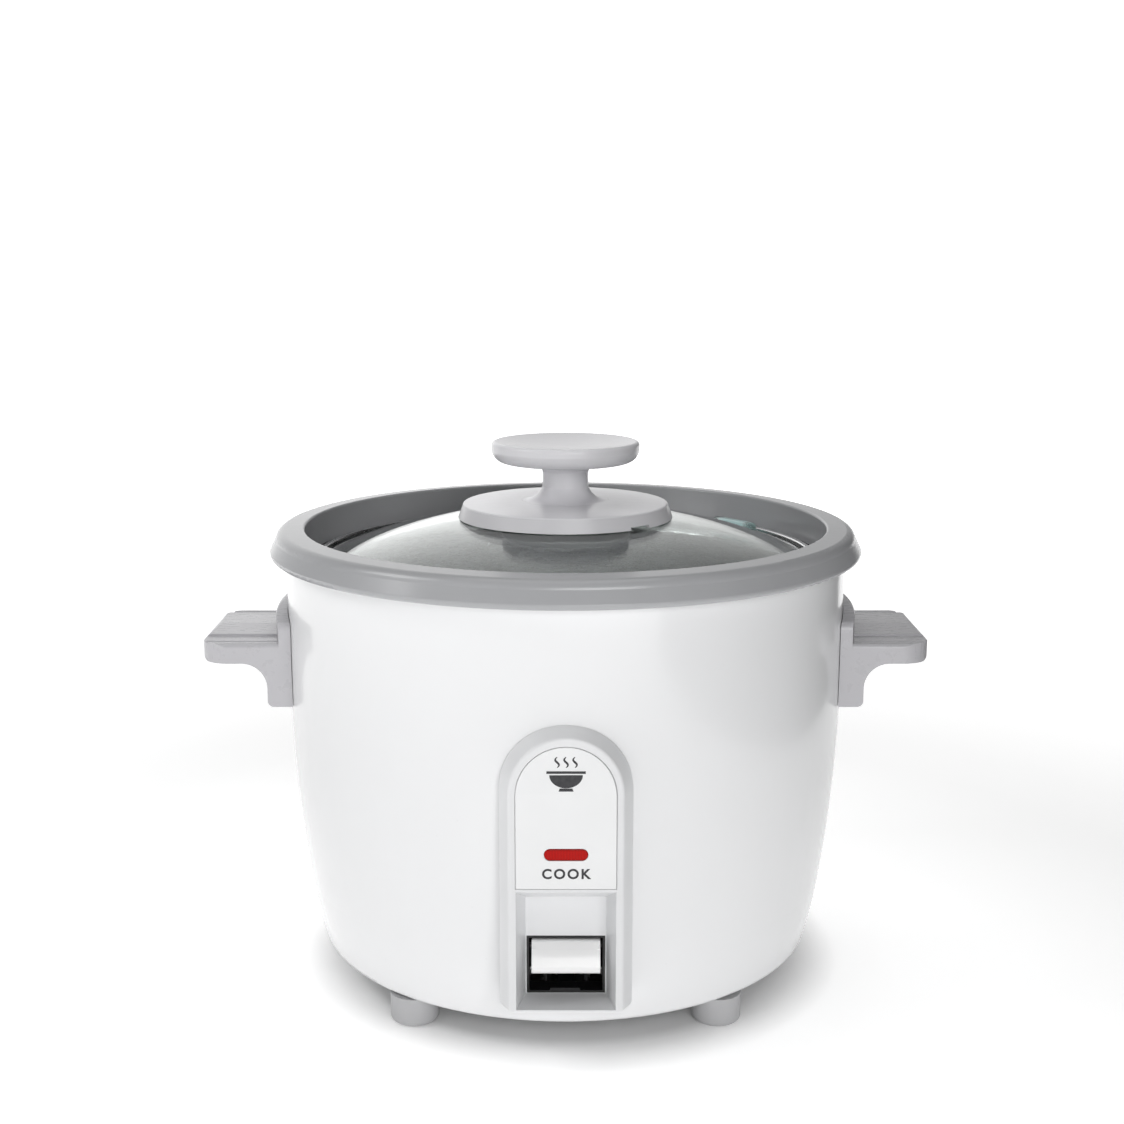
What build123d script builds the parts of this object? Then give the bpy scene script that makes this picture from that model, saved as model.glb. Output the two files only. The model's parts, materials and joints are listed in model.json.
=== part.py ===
from build123d import *
import os
from math import cos, radians, sin, sqrt

# Rice cooker with a lift-off glass lid, a removable pan and a one-lever cook switch.
# Millimetres, +Z up. The origin is on the table, under the middle of the body.
# The front panel faces -Y and the two handles stand out along +X and -X.

os.makedirs("parts", exist_ok=True)

# ---- Driving dimensions -------------------------------------------------------------

RIM_Z = 182.0                # flat top of the grey ring
RING_R = 118.5               # widest part of the ring's skirt
RING_INNER_R = 105.0         # top inside edge of the ring
BODY_R = 112.1               # straight upper part of the painted body
BODY_STRAIGHT_Z = 127.6      # the side starts to curve in below this height
SHELL_TOP_Z = 177.2          # top edge of the sheet, hidden in the ring
SHELL_WALL = 0.8
SIDE_TURNS = ((600.0, 8.5), (190.0, 16.0), (4.0, 90.0))   # radius, steepness in degrees at the end
SIDE_FACETS = (6, 3, 3)      # flats that stand in for those arcs where a moulding is cut to hug the body
BASE_LIP_R = 70.0            # inner edge of the body's turned-in base
FIT_GAP = 0.2                # air left between a moulding and the body it hugs

LID_R = 98.0
LID_SPHERE_R = 265.0
LID_APEX_Z = 187.5
LID_WALL = 4.0

PAN_R = 94.6
PAN_WALL = 1.2
PAN_BASE_Z = 62.3
PAN_RIM_Z = 170.2
PAN_RIM_R = 101.4
PAN_LEDGE_Z = 164.9          # step that the lid sits on

PLATE_TOP_Z = 62.0           # top of the heater plate
PLATE_R = 82.0
PLATE_HUB_Z = 52.0           # underside of the heater plate at its middle
TUBE_RING_R = 58.0           # middle of the heating tube's ring
TUBE_R = 4.0
WELL_FLOOR_Z = 44.8
POST_PCR = 75.0              # circle of the posts that carry the heater plate
LEG_PCR = 74.0               # circle of the legs between the well and the base

SENSOR_HOLE_R = 19.5
SENSOR_FLOOR_Z = 39.0        # inside floor of the sensor housing
MAGNET_TOP_Z = 52.6
ROD_R = 3.0
COLLAR_Z = 28.0              # underside of the collar that the lever lifts

PIVOT_Y = -38.0
PIVOT_Z = 26.0
PIVOT_R = 1.5
LEVER_BORE_R = 1.55
KEY_HALF_WIDTH = 12.25
ARM_HALF_WIDTH = 6.0
BRACKET_INNER_X = 7.2
BRACKET_WALL = 1.0
PLUNGER_Y = -60.0

PANEL_FACE = 118.0           # distance of the front panel's face from the body's axis
PANEL_WIDTH = 40.4
PANEL_BOTTOM_Z = 24.8
PANEL_TOP_Z = 126.4
PANEL_WALL = 2.0
PANEL_CORNER_R = 2.2         # rounding of the lower corners
PANEL_FLARE = 29.0           # degrees that the panel's sides spread towards the body
PANEL_FLARE_DEPTH = 6.0      # behind this depth the sides run straight back
FACE_PLATE_WIDTH = 35.3
FACE_PLATE_BOTTOM_Z = 71.8
FACE_PLATE_TOP_Z = 123.4
LENS_Z = 84.5
LENS_LENGTH = 15.4
LENS_HEIGHT = 4.3
RECESS_BACK = 106.0          # distance of the switch recess's back wall from the axis
OPENING_WIDTH = 28.3
OPENING_LOW_Z = 27.3
OPENING_HIGH_Z = 49.3

HANDLE_HALF_WIDTH = 31.0
HANDLE_TIP_X = 144.6
HANDLE_TOP_Z = 139.8
HANDLE_UNDER_Z = 130.4
HANDLE_FOOT_Z = 112.8
HANDLE_CREST_Z = 151.0
HANDLE_SCREW_Y = 15.0
HANDLE_SCREW_Z = 118.0

FOOT_R = 9.25
FOOT_X = 58.0
FOOT_Y = 70.0
FOOT_TOP_Z = 11.4

INLET_FACE = 112.5
INLET_Z = 29.5
INLET_PIN_X = 7.0

FEET = [(x, y) for x in (-FOOT_X, FOOT_X) for y in (-FOOT_Y, FOOT_Y)]
FRONT_IN = Plane(origin=(0, -PANEL_FACE, 0), x_dir=(-1, 0, 0), z_dir=(0, 1, 0))
REAR_IN = Plane(origin=(0, INLET_FACE, 0), x_dir=(1, 0, 0), z_dir=(0, -1, 0))


# ---- The body's outline -------------------------------------------------------------

def side_arcs():
    """Centre, radius and first and last steepness of each arc of the body's side."""
    arcs = []
    centre_r = BODY_R - SIDE_TURNS[0][0]
    centre_z = BODY_STRAIGHT_Z
    start = 0.0
    for index, (radius, end) in enumerate(SIDE_TURNS):
        if index:
            shift = SIDE_TURNS[index - 1][0] - radius
            centre_r += shift * cos(radians(start))
            centre_z -= shift * sin(radians(start))
        arcs.append((centre_r, centre_z, radius, start, end))
        start = end
    return arcs


def arc_point(arc, steepness, inset):
    """Point of a side arc, inset from the outside face."""
    centre_r, centre_z, radius = arc[:3]
    angle = radians(steepness)
    return (centre_r + (radius - inset) * cos(angle), centre_z - (radius - inset) * sin(angle))


def draw_side(inset):
    """Draws the curved side from the straight wall down to the flat base."""
    for arc in side_arcs():
        start, end = arc[3:]
        ThreePointArc(
            arc_point(arc, start, inset),
            arc_point(arc, (start + end) / 2, inset),
            arc_point(arc, end, inset),
        )


def base_corner(inset):
    """Point where the curved side meets the flat base."""
    return arc_point(side_arcs()[-1], SIDE_TURNS[-1][1], inset)


BASE_Z = base_corner(0.0)[1]


def side_points(inset):
    """Points down the curved side, close enough for straight lines between them to follow it."""
    points = []
    for arc, facets in zip(side_arcs(), SIDE_FACETS):
        start, end = arc[3:]
        points += [arc_point(arc, start + (end - start) * step / facets, inset) for step in range(facets)]
    return points + [base_corner(inset)]


def dome_z(radius, sphere_r=LID_SPHERE_R):
    """Height of the lid's outer sphere, or of one about the same centre."""
    return LID_APEX_Z - LID_SPHERE_R + sqrt(sphere_r ** 2 - radius ** 2)


def draw_arch(width, bottom, top):
    """Draws an upright plate outline with a half-round top."""
    radius = width / 2
    Line((-radius, top - radius), (-radius, bottom))
    Line((-radius, bottom), (radius, bottom))
    Line((radius, bottom), (radius, top - radius))
    ThreePointArc((radius, top - radius), (0, top), (-radius, top - radius))


# Solid that fills the body, a little larger than its outside: mouldings are cut to hug it.
with BuildPart() as body_envelope:
    with BuildSketch(Plane.XZ):
        with BuildLine():
            Line((0, RIM_Z), (BODY_R + FIT_GAP, RIM_Z))
            Line((BODY_R + FIT_GAP, RIM_Z), (BODY_R + FIT_GAP, BODY_STRAIGHT_Z))
            Polyline(*side_points(-FIT_GAP), (0, BASE_Z - FIT_GAP), (0, RIM_Z))
        make_face()
    revolve(axis=Axis.Z)


# ---- Lid ----------------------------------------------------------------------------

LID_HOLE_R = 5.0
LID_INNER_SPHERE_R = LID_SPHERE_R - LID_WALL
LIP_ANGLE = 38.0             # where the finger lip stands on the lid, from +X towards the back
LIP_R = 94.8

with BuildPart() as lid_glass:
    with BuildSketch(Plane.XZ):
        with BuildLine():
            mid_r = (LID_HOLE_R + LID_R) / 2
            ThreePointArc(
                (LID_HOLE_R, dome_z(LID_HOLE_R)),
                (mid_r, dome_z(mid_r)),
                (LID_R - 1.5, dome_z(LID_R - 1.5)),
            )
            ThreePointArc(
                (LID_R - 1.5, dome_z(LID_R - 1.5)),
                (LID_R, dome_z(LID_R) - LID_WALL / 2),
                (LID_R - 1.5, dome_z(LID_R - 1.5, LID_INNER_SPHERE_R)),
            )
            ThreePointArc(
                (LID_R - 1.5, dome_z(LID_R - 1.5, LID_INNER_SPHERE_R)),
                (mid_r, dome_z(mid_r, LID_INNER_SPHERE_R)),
                (LID_HOLE_R, dome_z(LID_HOLE_R, LID_INNER_SPHERE_R)),
            )
            Line((LID_HOLE_R, dome_z(LID_HOLE_R, LID_INNER_SPHERE_R)), (LID_HOLE_R, dome_z(LID_HOLE_R)))
        make_face()
    revolve(axis=Axis.Z)
    with BuildSketch(Plane.XY.offset(dome_z(LIP_R) - 2.0)):
        with PolarLocations(LIP_R, 1, start_angle=LIP_ANGLE):
            SlotOverall(25.0, 5.0, rotation=90)
    extrude(amount=4.8)
    lip_top = lid_glass.faces().filter_by(Plane.XY).sort_by(Axis.Z)[-1]
    fillet(lip_top.edges(), 1.4)
lid_glass.part.label = "lid_glass"
export_step(lid_glass.part, "parts/lid_glass.step")

KNOB_FOOT_Z = 190.5
KNOB_FOOT_R = 17.5
KNOB_STEM_R = 9.3
KNOB_R = 29.8
KNOB_BORE_R = 2.0
KNOB_BORE_TOP_Z = 205.5
DISH_LOW_Z = 212.1
DISH_R = 27.8                # radius of the hollow in the knob's top
DISH_DEPTH = 2.7
DISH_SPHERE_R = (DISH_R ** 2 + DISH_DEPTH ** 2) / (2 * DISH_DEPTH)


def dish_point(radius):
    """Point of the knob's hollow top at a distance from the axis."""
    return (radius, DISH_LOW_Z + DISH_SPHERE_R - sqrt(DISH_SPHERE_R ** 2 - radius ** 2))


with BuildPart() as knob:
    with BuildSketch(Plane.XZ):
        with BuildLine():
            Polyline((KNOB_BORE_R, KNOB_FOOT_Z), (KNOB_FOOT_R, KNOB_FOOT_Z), (KNOB_FOOT_R, 191.0))
            ThreePointArc((KNOB_FOOT_R, 191.0), (12.2, 192.6), (KNOB_STEM_R, 196.6))
            Line((KNOB_STEM_R, 196.6), (KNOB_STEM_R, 202.2))
            ThreePointArc((KNOB_STEM_R, 202.2), (9.8, 203.8), (11.4, 204.5))
            Line((11.4, 204.5), (24.6, 206.5))
            ThreePointArc((24.6, 206.5), (28.5, 208.4), (KNOB_R, 211.4))
            Line((KNOB_R, 211.4), (KNOB_R, 213.2))
            ThreePointArc((KNOB_R, 213.2), (29.2, 214.5), dish_point(DISH_R))
            ThreePointArc(dish_point(DISH_R), dish_point(DISH_R / 2), dish_point(0))
            Polyline(
                dish_point(0), (0, KNOB_BORE_TOP_Z), (KNOB_BORE_R, KNOB_BORE_TOP_Z),
                (KNOB_BORE_R, KNOB_FOOT_Z),
            )
        make_face()
    revolve(axis=Axis.Z)
knob.part.label = "knob"
export_step(knob.part, "parts/knob.step")

SKIRT_R = 43.3               # lower edge of the skirt, which leans out from its top edge
SKIRT_TOP_R = 41.3
SKIRT_LOW_Z = 184.3
GASKET_TOP_Z = 187.6
GASKET_INNER_R = 20.0
GASKET_R = 26.0

with BuildPart() as knob_base_plate:
    with BuildSketch(Plane.XZ):
        with BuildLine():
            Polyline(
                (4.0, 187.8), (4.0, KNOB_FOOT_Z - 0.1), (KNOB_FOOT_R + 0.05, KNOB_FOOT_Z - 0.1),
                (KNOB_FOOT_R + 0.05, 191.0),
            )
            ThreePointArc((KNOB_FOOT_R + 0.05, 191.0), (30.0, 190.7), (SKIRT_TOP_R - 0.7, 190.0))
            ThreePointArc((SKIRT_TOP_R - 0.7, 190.0), (SKIRT_TOP_R - 0.1, 189.8), (SKIRT_TOP_R + 0.2, 189.2))
            Polyline(
                (SKIRT_TOP_R + 0.2, 189.2), (SKIRT_R, SKIRT_LOW_Z), (SKIRT_R - 1.5, SKIRT_LOW_Z),
                (SKIRT_TOP_R - 1.5, 187.7), (GASKET_R + 0.6, 188.6), (GASKET_R + 0.6, 187.8), (4.0, 187.8),
            )
        make_face()
    revolve(axis=Axis.Z)
    # Steam outlet under the skirt.
    with BuildSketch(Plane.XY.offset(SKIRT_LOW_Z)):
        with PolarLocations(SKIRT_R, 1, start_angle=-47.5):
            Rectangle(8.0, 10.0)
    extrude(amount=1.2, mode=Mode.SUBTRACT)
knob_base_plate.part.label = "knob_base_plate"
export_step(knob_base_plate.part, "parts/knob_base_plate.step")

with BuildPart() as knob_gasket:
    with BuildSketch(Plane.XZ):
        with BuildLine():
            Polyline(
                (GASKET_INNER_R, dome_z(GASKET_INNER_R) + 0.05), (GASKET_R, dome_z(GASKET_R) + 0.25),
                (GASKET_R, GASKET_TOP_Z), (GASKET_INNER_R, GASKET_TOP_Z),
                (GASKET_INNER_R, dome_z(GASKET_INNER_R) + 0.05),
            )
        make_face()
    revolve(axis=Axis.Z)
knob_gasket.part.label = "knob_gasket"
export_step(knob_gasket.part, "parts/knob_gasket.step")

RETAINER_R = 25.5
RETAINER_LOW_Z = 173.5
SCREW_PASS_R = 2.4

with BuildPart() as knob_retainer:
    with BuildSketch(Plane.XZ):
        with BuildLine():
            top_in = (SCREW_PASS_R, dome_z(SCREW_PASS_R, LID_INNER_SPHERE_R) - 0.2)
            top_mid = (14.0, dome_z(14.0, LID_INNER_SPHERE_R) - 0.2)
            top_out = (RETAINER_R, dome_z(RETAINER_R, LID_INNER_SPHERE_R) - 0.2)
            ThreePointArc(top_in, top_mid, top_out)
            Polyline(
                top_out, (RETAINER_R, RETAINER_LOW_Z + 2.0), (RETAINER_R - 2.0, RETAINER_LOW_Z),
                (8.0, RETAINER_LOW_Z), (6.5, RETAINER_LOW_Z + 3.2),
                (SCREW_PASS_R, RETAINER_LOW_Z + 3.2), top_in,
            )
        make_face()
    revolve(axis=Axis.Z)
knob_retainer.part.label = "knob_retainer"
export_step(knob_retainer.part, "parts/knob_retainer.step")


def cross_slot(plane, size, depth):
    """Cuts a cross-head recess into the screw being made, from the given plane inwards."""
    with BuildSketch(plane) as slots:
        Rectangle(size, size / 5)
        Rectangle(size / 5, size)
    extrude(slots.sketch, amount=depth, mode=Mode.SUBTRACT)


SCREW_HEAD_Z = RETAINER_LOW_Z + 0.6

with BuildPart() as knob_screw:
    with BuildSketch(Plane.XY.offset(SCREW_HEAD_Z)):
        Circle(4.4)
    extrude(amount=2.4)
    fillet(knob_screw.edges().sort_by(Axis.Z)[0], 1.2)
    with BuildSketch(Plane.XY.offset(SCREW_HEAD_Z)):
        Circle(KNOB_BORE_R - 0.05)
    extrude(amount=KNOB_BORE_TOP_Z - 1.0 - SCREW_HEAD_Z)
    cross_slot(Plane.XY.offset(SCREW_HEAD_Z), 4.6, 1.4)
knob_screw.part.label = "knob_screw"
export_step(knob_screw.part, "parts/knob_screw.step")


# ---- Pan ----------------------------------------------------------------------------

PAN_CORNER_R = 16.0
PAN_STEP_R = 98.8

with BuildPart() as inner_pan:
    with BuildSketch(Plane.XZ):
        with BuildLine():
            inner_r = PAN_R - PAN_WALL
            floor_z = PAN_BASE_Z + PAN_WALL
            bend = PAN_CORNER_R - PAN_WALL
            lean = cos(radians(45))
            centre = (PAN_R - PAN_CORNER_R, PAN_BASE_Z + PAN_CORNER_R)
            Polyline(
                (0, floor_z), (0, PAN_BASE_Z), (centre[0], PAN_BASE_Z),
            )
            ThreePointArc(
                (centre[0], PAN_BASE_Z),
                (centre[0] + PAN_CORNER_R * lean, centre[1] - PAN_CORNER_R * lean),
                (PAN_R, centre[1]),
            )
            Polyline(
                (PAN_R, centre[1]), (PAN_R, PAN_LEDGE_Z - PAN_WALL - 1.0),
                (PAN_STEP_R + PAN_WALL, PAN_LEDGE_Z - PAN_WALL + 0.6),
                (PAN_STEP_R + PAN_WALL, PAN_RIM_Z - PAN_WALL), (PAN_RIM_R - 0.5, PAN_RIM_Z - PAN_WALL),
                (PAN_RIM_R, PAN_RIM_Z - PAN_WALL / 2), (PAN_RIM_R - 0.5, PAN_RIM_Z),
                (PAN_STEP_R + 0.4, PAN_RIM_Z), (PAN_STEP_R, PAN_RIM_Z - 0.4),
                (PAN_STEP_R, PAN_LEDGE_Z), (inner_r, PAN_LEDGE_Z - 0.6), (inner_r, centre[1]),
            )
            ThreePointArc(
                (inner_r, centre[1]),
                (centre[0] + bend * lean, centre[1] - bend * lean),
                (centre[0], floor_z),
            )
            Line((centre[0], floor_z), (0, floor_z))
        make_face()
    revolve(axis=Axis.Z)
inner_pan.part.label = "inner_pan"
export_step(inner_pan.part, "parts/inner_pan.step")


# ---- Ring, well and painted body ----------------------------------------------------

with BuildPart() as top_ring:
    with BuildSketch(Plane.XZ):
        with BuildLine():
            Line((RING_INNER_R + 0.6, RIM_Z), (112.6, RIM_Z - 0.45))
            ThreePointArc((112.6, RIM_Z - 0.45), (114.9, RIM_Z - 1.5), (116.2, RIM_Z - 3.8))
            Line((116.2, RIM_Z - 3.8), (RING_R, RIM_Z - 8.4))
            ThreePointArc((RING_R, RIM_Z - 8.4), (RING_R - 0.4, RIM_Z - 10.1), (RING_R - 2.0, RIM_Z - 10.8))
            Polyline(
                (RING_R - 2.0, RIM_Z - 10.8), (BODY_R + 0.3, RIM_Z - 10.8), (BODY_R + 0.3, SHELL_TOP_Z + 0.3),
                (BODY_R - 1.2, SHELL_TOP_Z + 0.3), (BODY_R - 1.2, RIM_Z - 2.4), (107.0, RIM_Z - 2.4),
                (106.4, RIM_Z - 13.3), (104.2, RIM_Z - 13.3), (RING_INNER_R - 0.4, RIM_Z - 1.0),
            )
            ThreePointArc(
                (RING_INNER_R - 0.4, RIM_Z - 1.0), (RING_INNER_R - 0.1, RIM_Z - 0.3),
                (RING_INNER_R + 0.6, RIM_Z),
            )
        make_face()
    revolve(axis=Axis.Z)
top_ring.part.label = "top_ring"
export_step(top_ring.part, "parts/top_ring.step")

WELL_FLANGE_Z = 168.3
POSTS = [Location((POST_PCR * cos(radians(a)), POST_PCR * sin(radians(a)), 0)) for a in (30, 150, 270)]
LEGS = [Location((LEG_PCR * cos(radians(a)), LEG_PCR * sin(radians(a)), 0)) for a in (45, 135, 225, 315)]
SCREW_HOLE_R = 2.1

with BuildPart() as inner_well:
    with BuildSketch(Plane.XZ):
        with BuildLine():
            Polyline(
                (110.6, WELL_FLANGE_Z), (100.9, WELL_FLANGE_Z), (95.2, 50.0), (91.0, WELL_FLOOR_Z),
                (68.0, WELL_FLOOR_Z), (68.0, WELL_FLOOR_Z - 0.8), (91.4, WELL_FLOOR_Z - 0.8),
                (96.0, 49.7), (101.7, WELL_FLANGE_Z - 0.8), (110.6, WELL_FLANGE_Z - 0.8),
                (110.6, WELL_FLANGE_Z),
            )
        make_face()
    revolve(axis=Axis.Z)
    with BuildSketch(Plane.XY.offset(WELL_FLOOR_Z)):
        with Locations(*POSTS, *LEGS):
            Circle(SCREW_HOLE_R)
    extrude(amount=-2.0, mode=Mode.SUBTRACT)
inner_well.part.label = "inner_well"
export_step(inner_well.part, "parts/inner_well.step")

WINDOW_HALF_WIDTH = 17.4
WINDOW_LOW_Z = 22.5
WINDOW_HIGH_Z = 70.0
LAMP_HOLE_HEIGHT = 9.0
PANEL_SCREWS = [(-9.0, 108.0), (9.0, 108.0)]

with BuildPart() as outer_shell:
    with BuildSketch(Plane.XZ):
        with BuildLine():
            Line((BODY_R, SHELL_TOP_Z), (BODY_R, BODY_STRAIGHT_Z))
            draw_side(0)
            Polyline(
                base_corner(0), (BASE_LIP_R, BASE_Z),
                (BASE_LIP_R, BASE_Z + SHELL_WALL), base_corner(SHELL_WALL),
            )
            draw_side(SHELL_WALL)
            Polyline(
                (BODY_R - SHELL_WALL, BODY_STRAIGHT_Z), (BODY_R - SHELL_WALL, SHELL_TOP_Z),
                (BODY_R, SHELL_TOP_Z),
            )
        make_face()
    revolve(axis=Axis.Z)
    # Front: switch window, lamp hole and the front panel's screw holes.
    with BuildSketch(Plane.XZ.offset(BASE_LIP_R + 20)):
        with Locations((0, (WINDOW_LOW_Z + WINDOW_HIGH_Z) / 2)):
            Rectangle(2 * WINDOW_HALF_WIDTH, WINDOW_HIGH_Z - WINDOW_LOW_Z)
        with Locations((0, LENS_Z)):
            Rectangle(20.0, LAMP_HOLE_HEIGHT)
        with Locations(*PANEL_SCREWS):
            Circle(1.6)
    extrude(amount=30.0, mode=Mode.SUBTRACT)
    # Rear: inlet window.
    with BuildSketch(REAR_IN):
        with Locations((0, INLET_Z)):
            Rectangle(36.0, 26.0)
        with Locations((-21.0, INLET_Z), (21.0, INLET_Z)):
            Circle(1.5)
    extrude(amount=30.0, mode=Mode.SUBTRACT)
    # Sides: holes for the handle screws.
    with BuildSketch(Plane.YZ.offset(-BODY_R - 5)):
        with Locations((-HANDLE_SCREW_Y, HANDLE_SCREW_Z), (HANDLE_SCREW_Y, HANDLE_SCREW_Z)):
            Circle(SCREW_HOLE_R)
    extrude(amount=2 * BODY_R + 10, mode=Mode.SUBTRACT)
    # Base: holes for the feet and for the base screws.
    with BuildSketch(Plane.XY.offset(BASE_Z + 2)):
        with Locations(*FEET):
            Circle(3.2)
        with Locations(*LEGS):
            Circle(SCREW_HOLE_R)
    extrude(amount=-4.0, mode=Mode.SUBTRACT)
outer_shell.part.label = "outer_shell"
export_step(outer_shell.part, "parts/outer_shell.step")


# ---- Base ---------------------------------------------------------------------------

COVER_R = 80.0
COVER_WALL = 0.9
COVER_TOP_Z = BASE_Z - 0.15

with BuildPart() as bottom_cover:
    with BuildSketch(Plane.XY.offset(COVER_TOP_Z)):
        Circle(COVER_R)
    extrude(amount=-COVER_WALL)
    # Pressed stiffening dish in the middle.
    with BuildSketch(Plane.XY.offset(COVER_TOP_Z - COVER_WALL)):
        Circle(46.0)
    extrude(amount=-1.6, taper=35)
    with BuildSketch(Plane.XY.offset(COVER_TOP_Z)):
        Circle(45.0)
    extrude(amount=-1.6, taper=35, mode=Mode.SUBTRACT)
    with BuildSketch(Plane.XY.offset(COVER_TOP_Z + 1)):
        with Locations(*LEGS):
            Circle(SCREW_HOLE_R)
        # Cooling slots in two rings.
        with PolarLocations(58.0, 24):
            SlotOverall(13.0, 2.6)
        with PolarLocations(27.0, 12):
            SlotOverall(15.0, 2.6)
    extrude(amount=-6.0, mode=Mode.SUBTRACT)
bottom_cover.part.label = "bottom_cover"
export_step(bottom_cover.part, "parts/bottom_cover.step")

LEG_R = 4.0
LEG_BASE_Z = BASE_Z + SHELL_WALL

with BuildPart() as support_legs:
    with BuildSketch(Plane.XY.offset(LEG_BASE_Z)):
        with Locations(*LEGS):
            Circle(LEG_R)
            Circle(1.8, mode=Mode.SUBTRACT)
    extrude(amount=WELL_FLOOR_Z - 0.8 - LEG_BASE_Z)
support_legs.part.label = "support_legs"
export_step(support_legs.part, "parts/support_legs.step")

COVER_HEAD_Z = COVER_TOP_Z - COVER_WALL

with BuildPart() as cover_screws:
    with BuildSketch(Plane.XY.offset(COVER_HEAD_Z)):
        with Locations(*LEGS):
            Circle(3.6)
    extrude(amount=-2.0)
    fillet(cover_screws.edges().group_by(Axis.Z)[0], 1.0)
    with BuildSketch(Plane.XY.offset(COVER_HEAD_Z)):
        with Locations(*LEGS):
            Circle(1.75)
    extrude(amount=12.0)
    with BuildSketch(Plane.XY.offset(COVER_HEAD_Z - 2.0)):
        with Locations(*LEGS):
            Rectangle(3.6, 0.8)
            Rectangle(0.8, 3.6)
    extrude(amount=1.2, mode=Mode.SUBTRACT)
cover_screws.part.label = "cover_screws"
export_step(cover_screws.part, "parts/cover_screws.step")

with BuildPart() as feet:
    with BuildSketch(Plane.XY):
        with Locations(*FEET):
            Circle(FOOT_R)
    extrude(amount=FOOT_TOP_Z)
    fillet(feet.edges().group_by(Axis.Z)[0], 2.2)
    with BuildSketch(Plane.XY.offset(FOOT_TOP_Z)):
        with Locations(*FEET):
            Circle(2.9)
    extrude(amount=4.0)
    with BuildSketch(Plane.XY.offset(FOOT_TOP_Z + 1.6)):
        with Locations(*FEET):
            Circle(3.8)
    extrude(amount=2.4)
feet.part.label = "feet"
export_step(feet.part, "parts/feet.step")


# ---- Handles ------------------------------------------------------------------------

GRIP_ROOT_X = 117.7
UNDER_FILLET = 10.0
CREST_OUTER_R = BODY_R + 4.8
LIP_Z = 138.4                # the grip's edges are lower than its middle
PAD_HALF_WIDTH = 17.0
PAD_EDGE_Z = 139.2
GROOVE_Z = 137.8
GROOVE_Y = 26.6
GROOVE_HALF_WIDTH = 1.2


def grip_top_corners(side):
    """Points of the grip's top seen from the side, from its edge to its middle. side is +1 or -1."""
    return [
        (side * (HANDLE_HALF_WIDTH - 1.8), LIP_Z),
        (side * (GROOVE_Y + GROOVE_HALF_WIDTH), LIP_Z),
        (side * (GROOVE_Y + GROOVE_HALF_WIDTH / 2), GROOVE_Z),
        (side * (GROOVE_Y - GROOVE_HALF_WIDTH / 2), GROOVE_Z),
        (side * (GROOVE_Y - GROOVE_HALF_WIDTH), LIP_Z),
        (side * (PAD_HALF_WIDTH + 0.4), LIP_Z),
        (side * PAD_HALF_WIDTH, PAD_EDGE_Z),
        (0, HANDLE_TOP_Z),
    ]


def round_edge(side):
    """Rounds the grip's long top edge between its side face and its lip."""
    ThreePointArc(
        (side * HANDLE_HALF_WIDTH, LIP_Z - 1.8),
        (side * (HANDLE_HALF_WIDTH - 0.5), LIP_Z - 0.5),
        (side * (HANDLE_HALF_WIDTH - 1.8), LIP_Z),
    )


# Raised wall of the handle that hugs the body, its top a low arch with rounded shoulders.
with BuildPart() as handle_crest:
    with BuildSketch(Plane.XZ):
        with BuildLine():
            Polyline(
                (BODY_R - 2.0, HANDLE_CREST_Z), (BODY_R - 2.0, HANDLE_FOOT_Z), (CREST_OUTER_R, HANDLE_FOOT_Z),
                (CREST_OUTER_R, HANDLE_CREST_Z - 3.4),
            )
            ThreePointArc(
                (CREST_OUTER_R, HANDLE_CREST_Z - 3.4), (CREST_OUTER_R - 1.0, HANDLE_CREST_Z - 1.0),
                (CREST_OUTER_R - 3.4, HANDLE_CREST_Z),
            )
            Line((CREST_OUTER_R - 3.4, HANDLE_CREST_Z), (BODY_R - 2.0, HANDLE_CREST_Z))
        make_face()
    revolve(axis=Axis.Z)
    with BuildSketch(Plane.YZ.offset(95.0)):
        with BuildLine():
            Polyline(
                (-HANDLE_HALF_WIDTH, 143.4), (-HANDLE_HALF_WIDTH, HANDLE_FOOT_Z),
                (HANDLE_HALF_WIDTH, HANDLE_FOOT_Z), (HANDLE_HALF_WIDTH, 143.4),
            )
            ThreePointArc((HANDLE_HALF_WIDTH, 143.4), (30.2, 145.9), (27.8, 147.2))
            ThreePointArc((27.8, 147.2), (0, HANDLE_CREST_Z), (-27.8, 147.2))
            ThreePointArc((-27.8, 147.2), (-30.2, 145.9), (-HANDLE_HALF_WIDTH, 143.4))
        make_face()
    extrude(amount=30.0, mode=Mode.INTERSECT)


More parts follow.
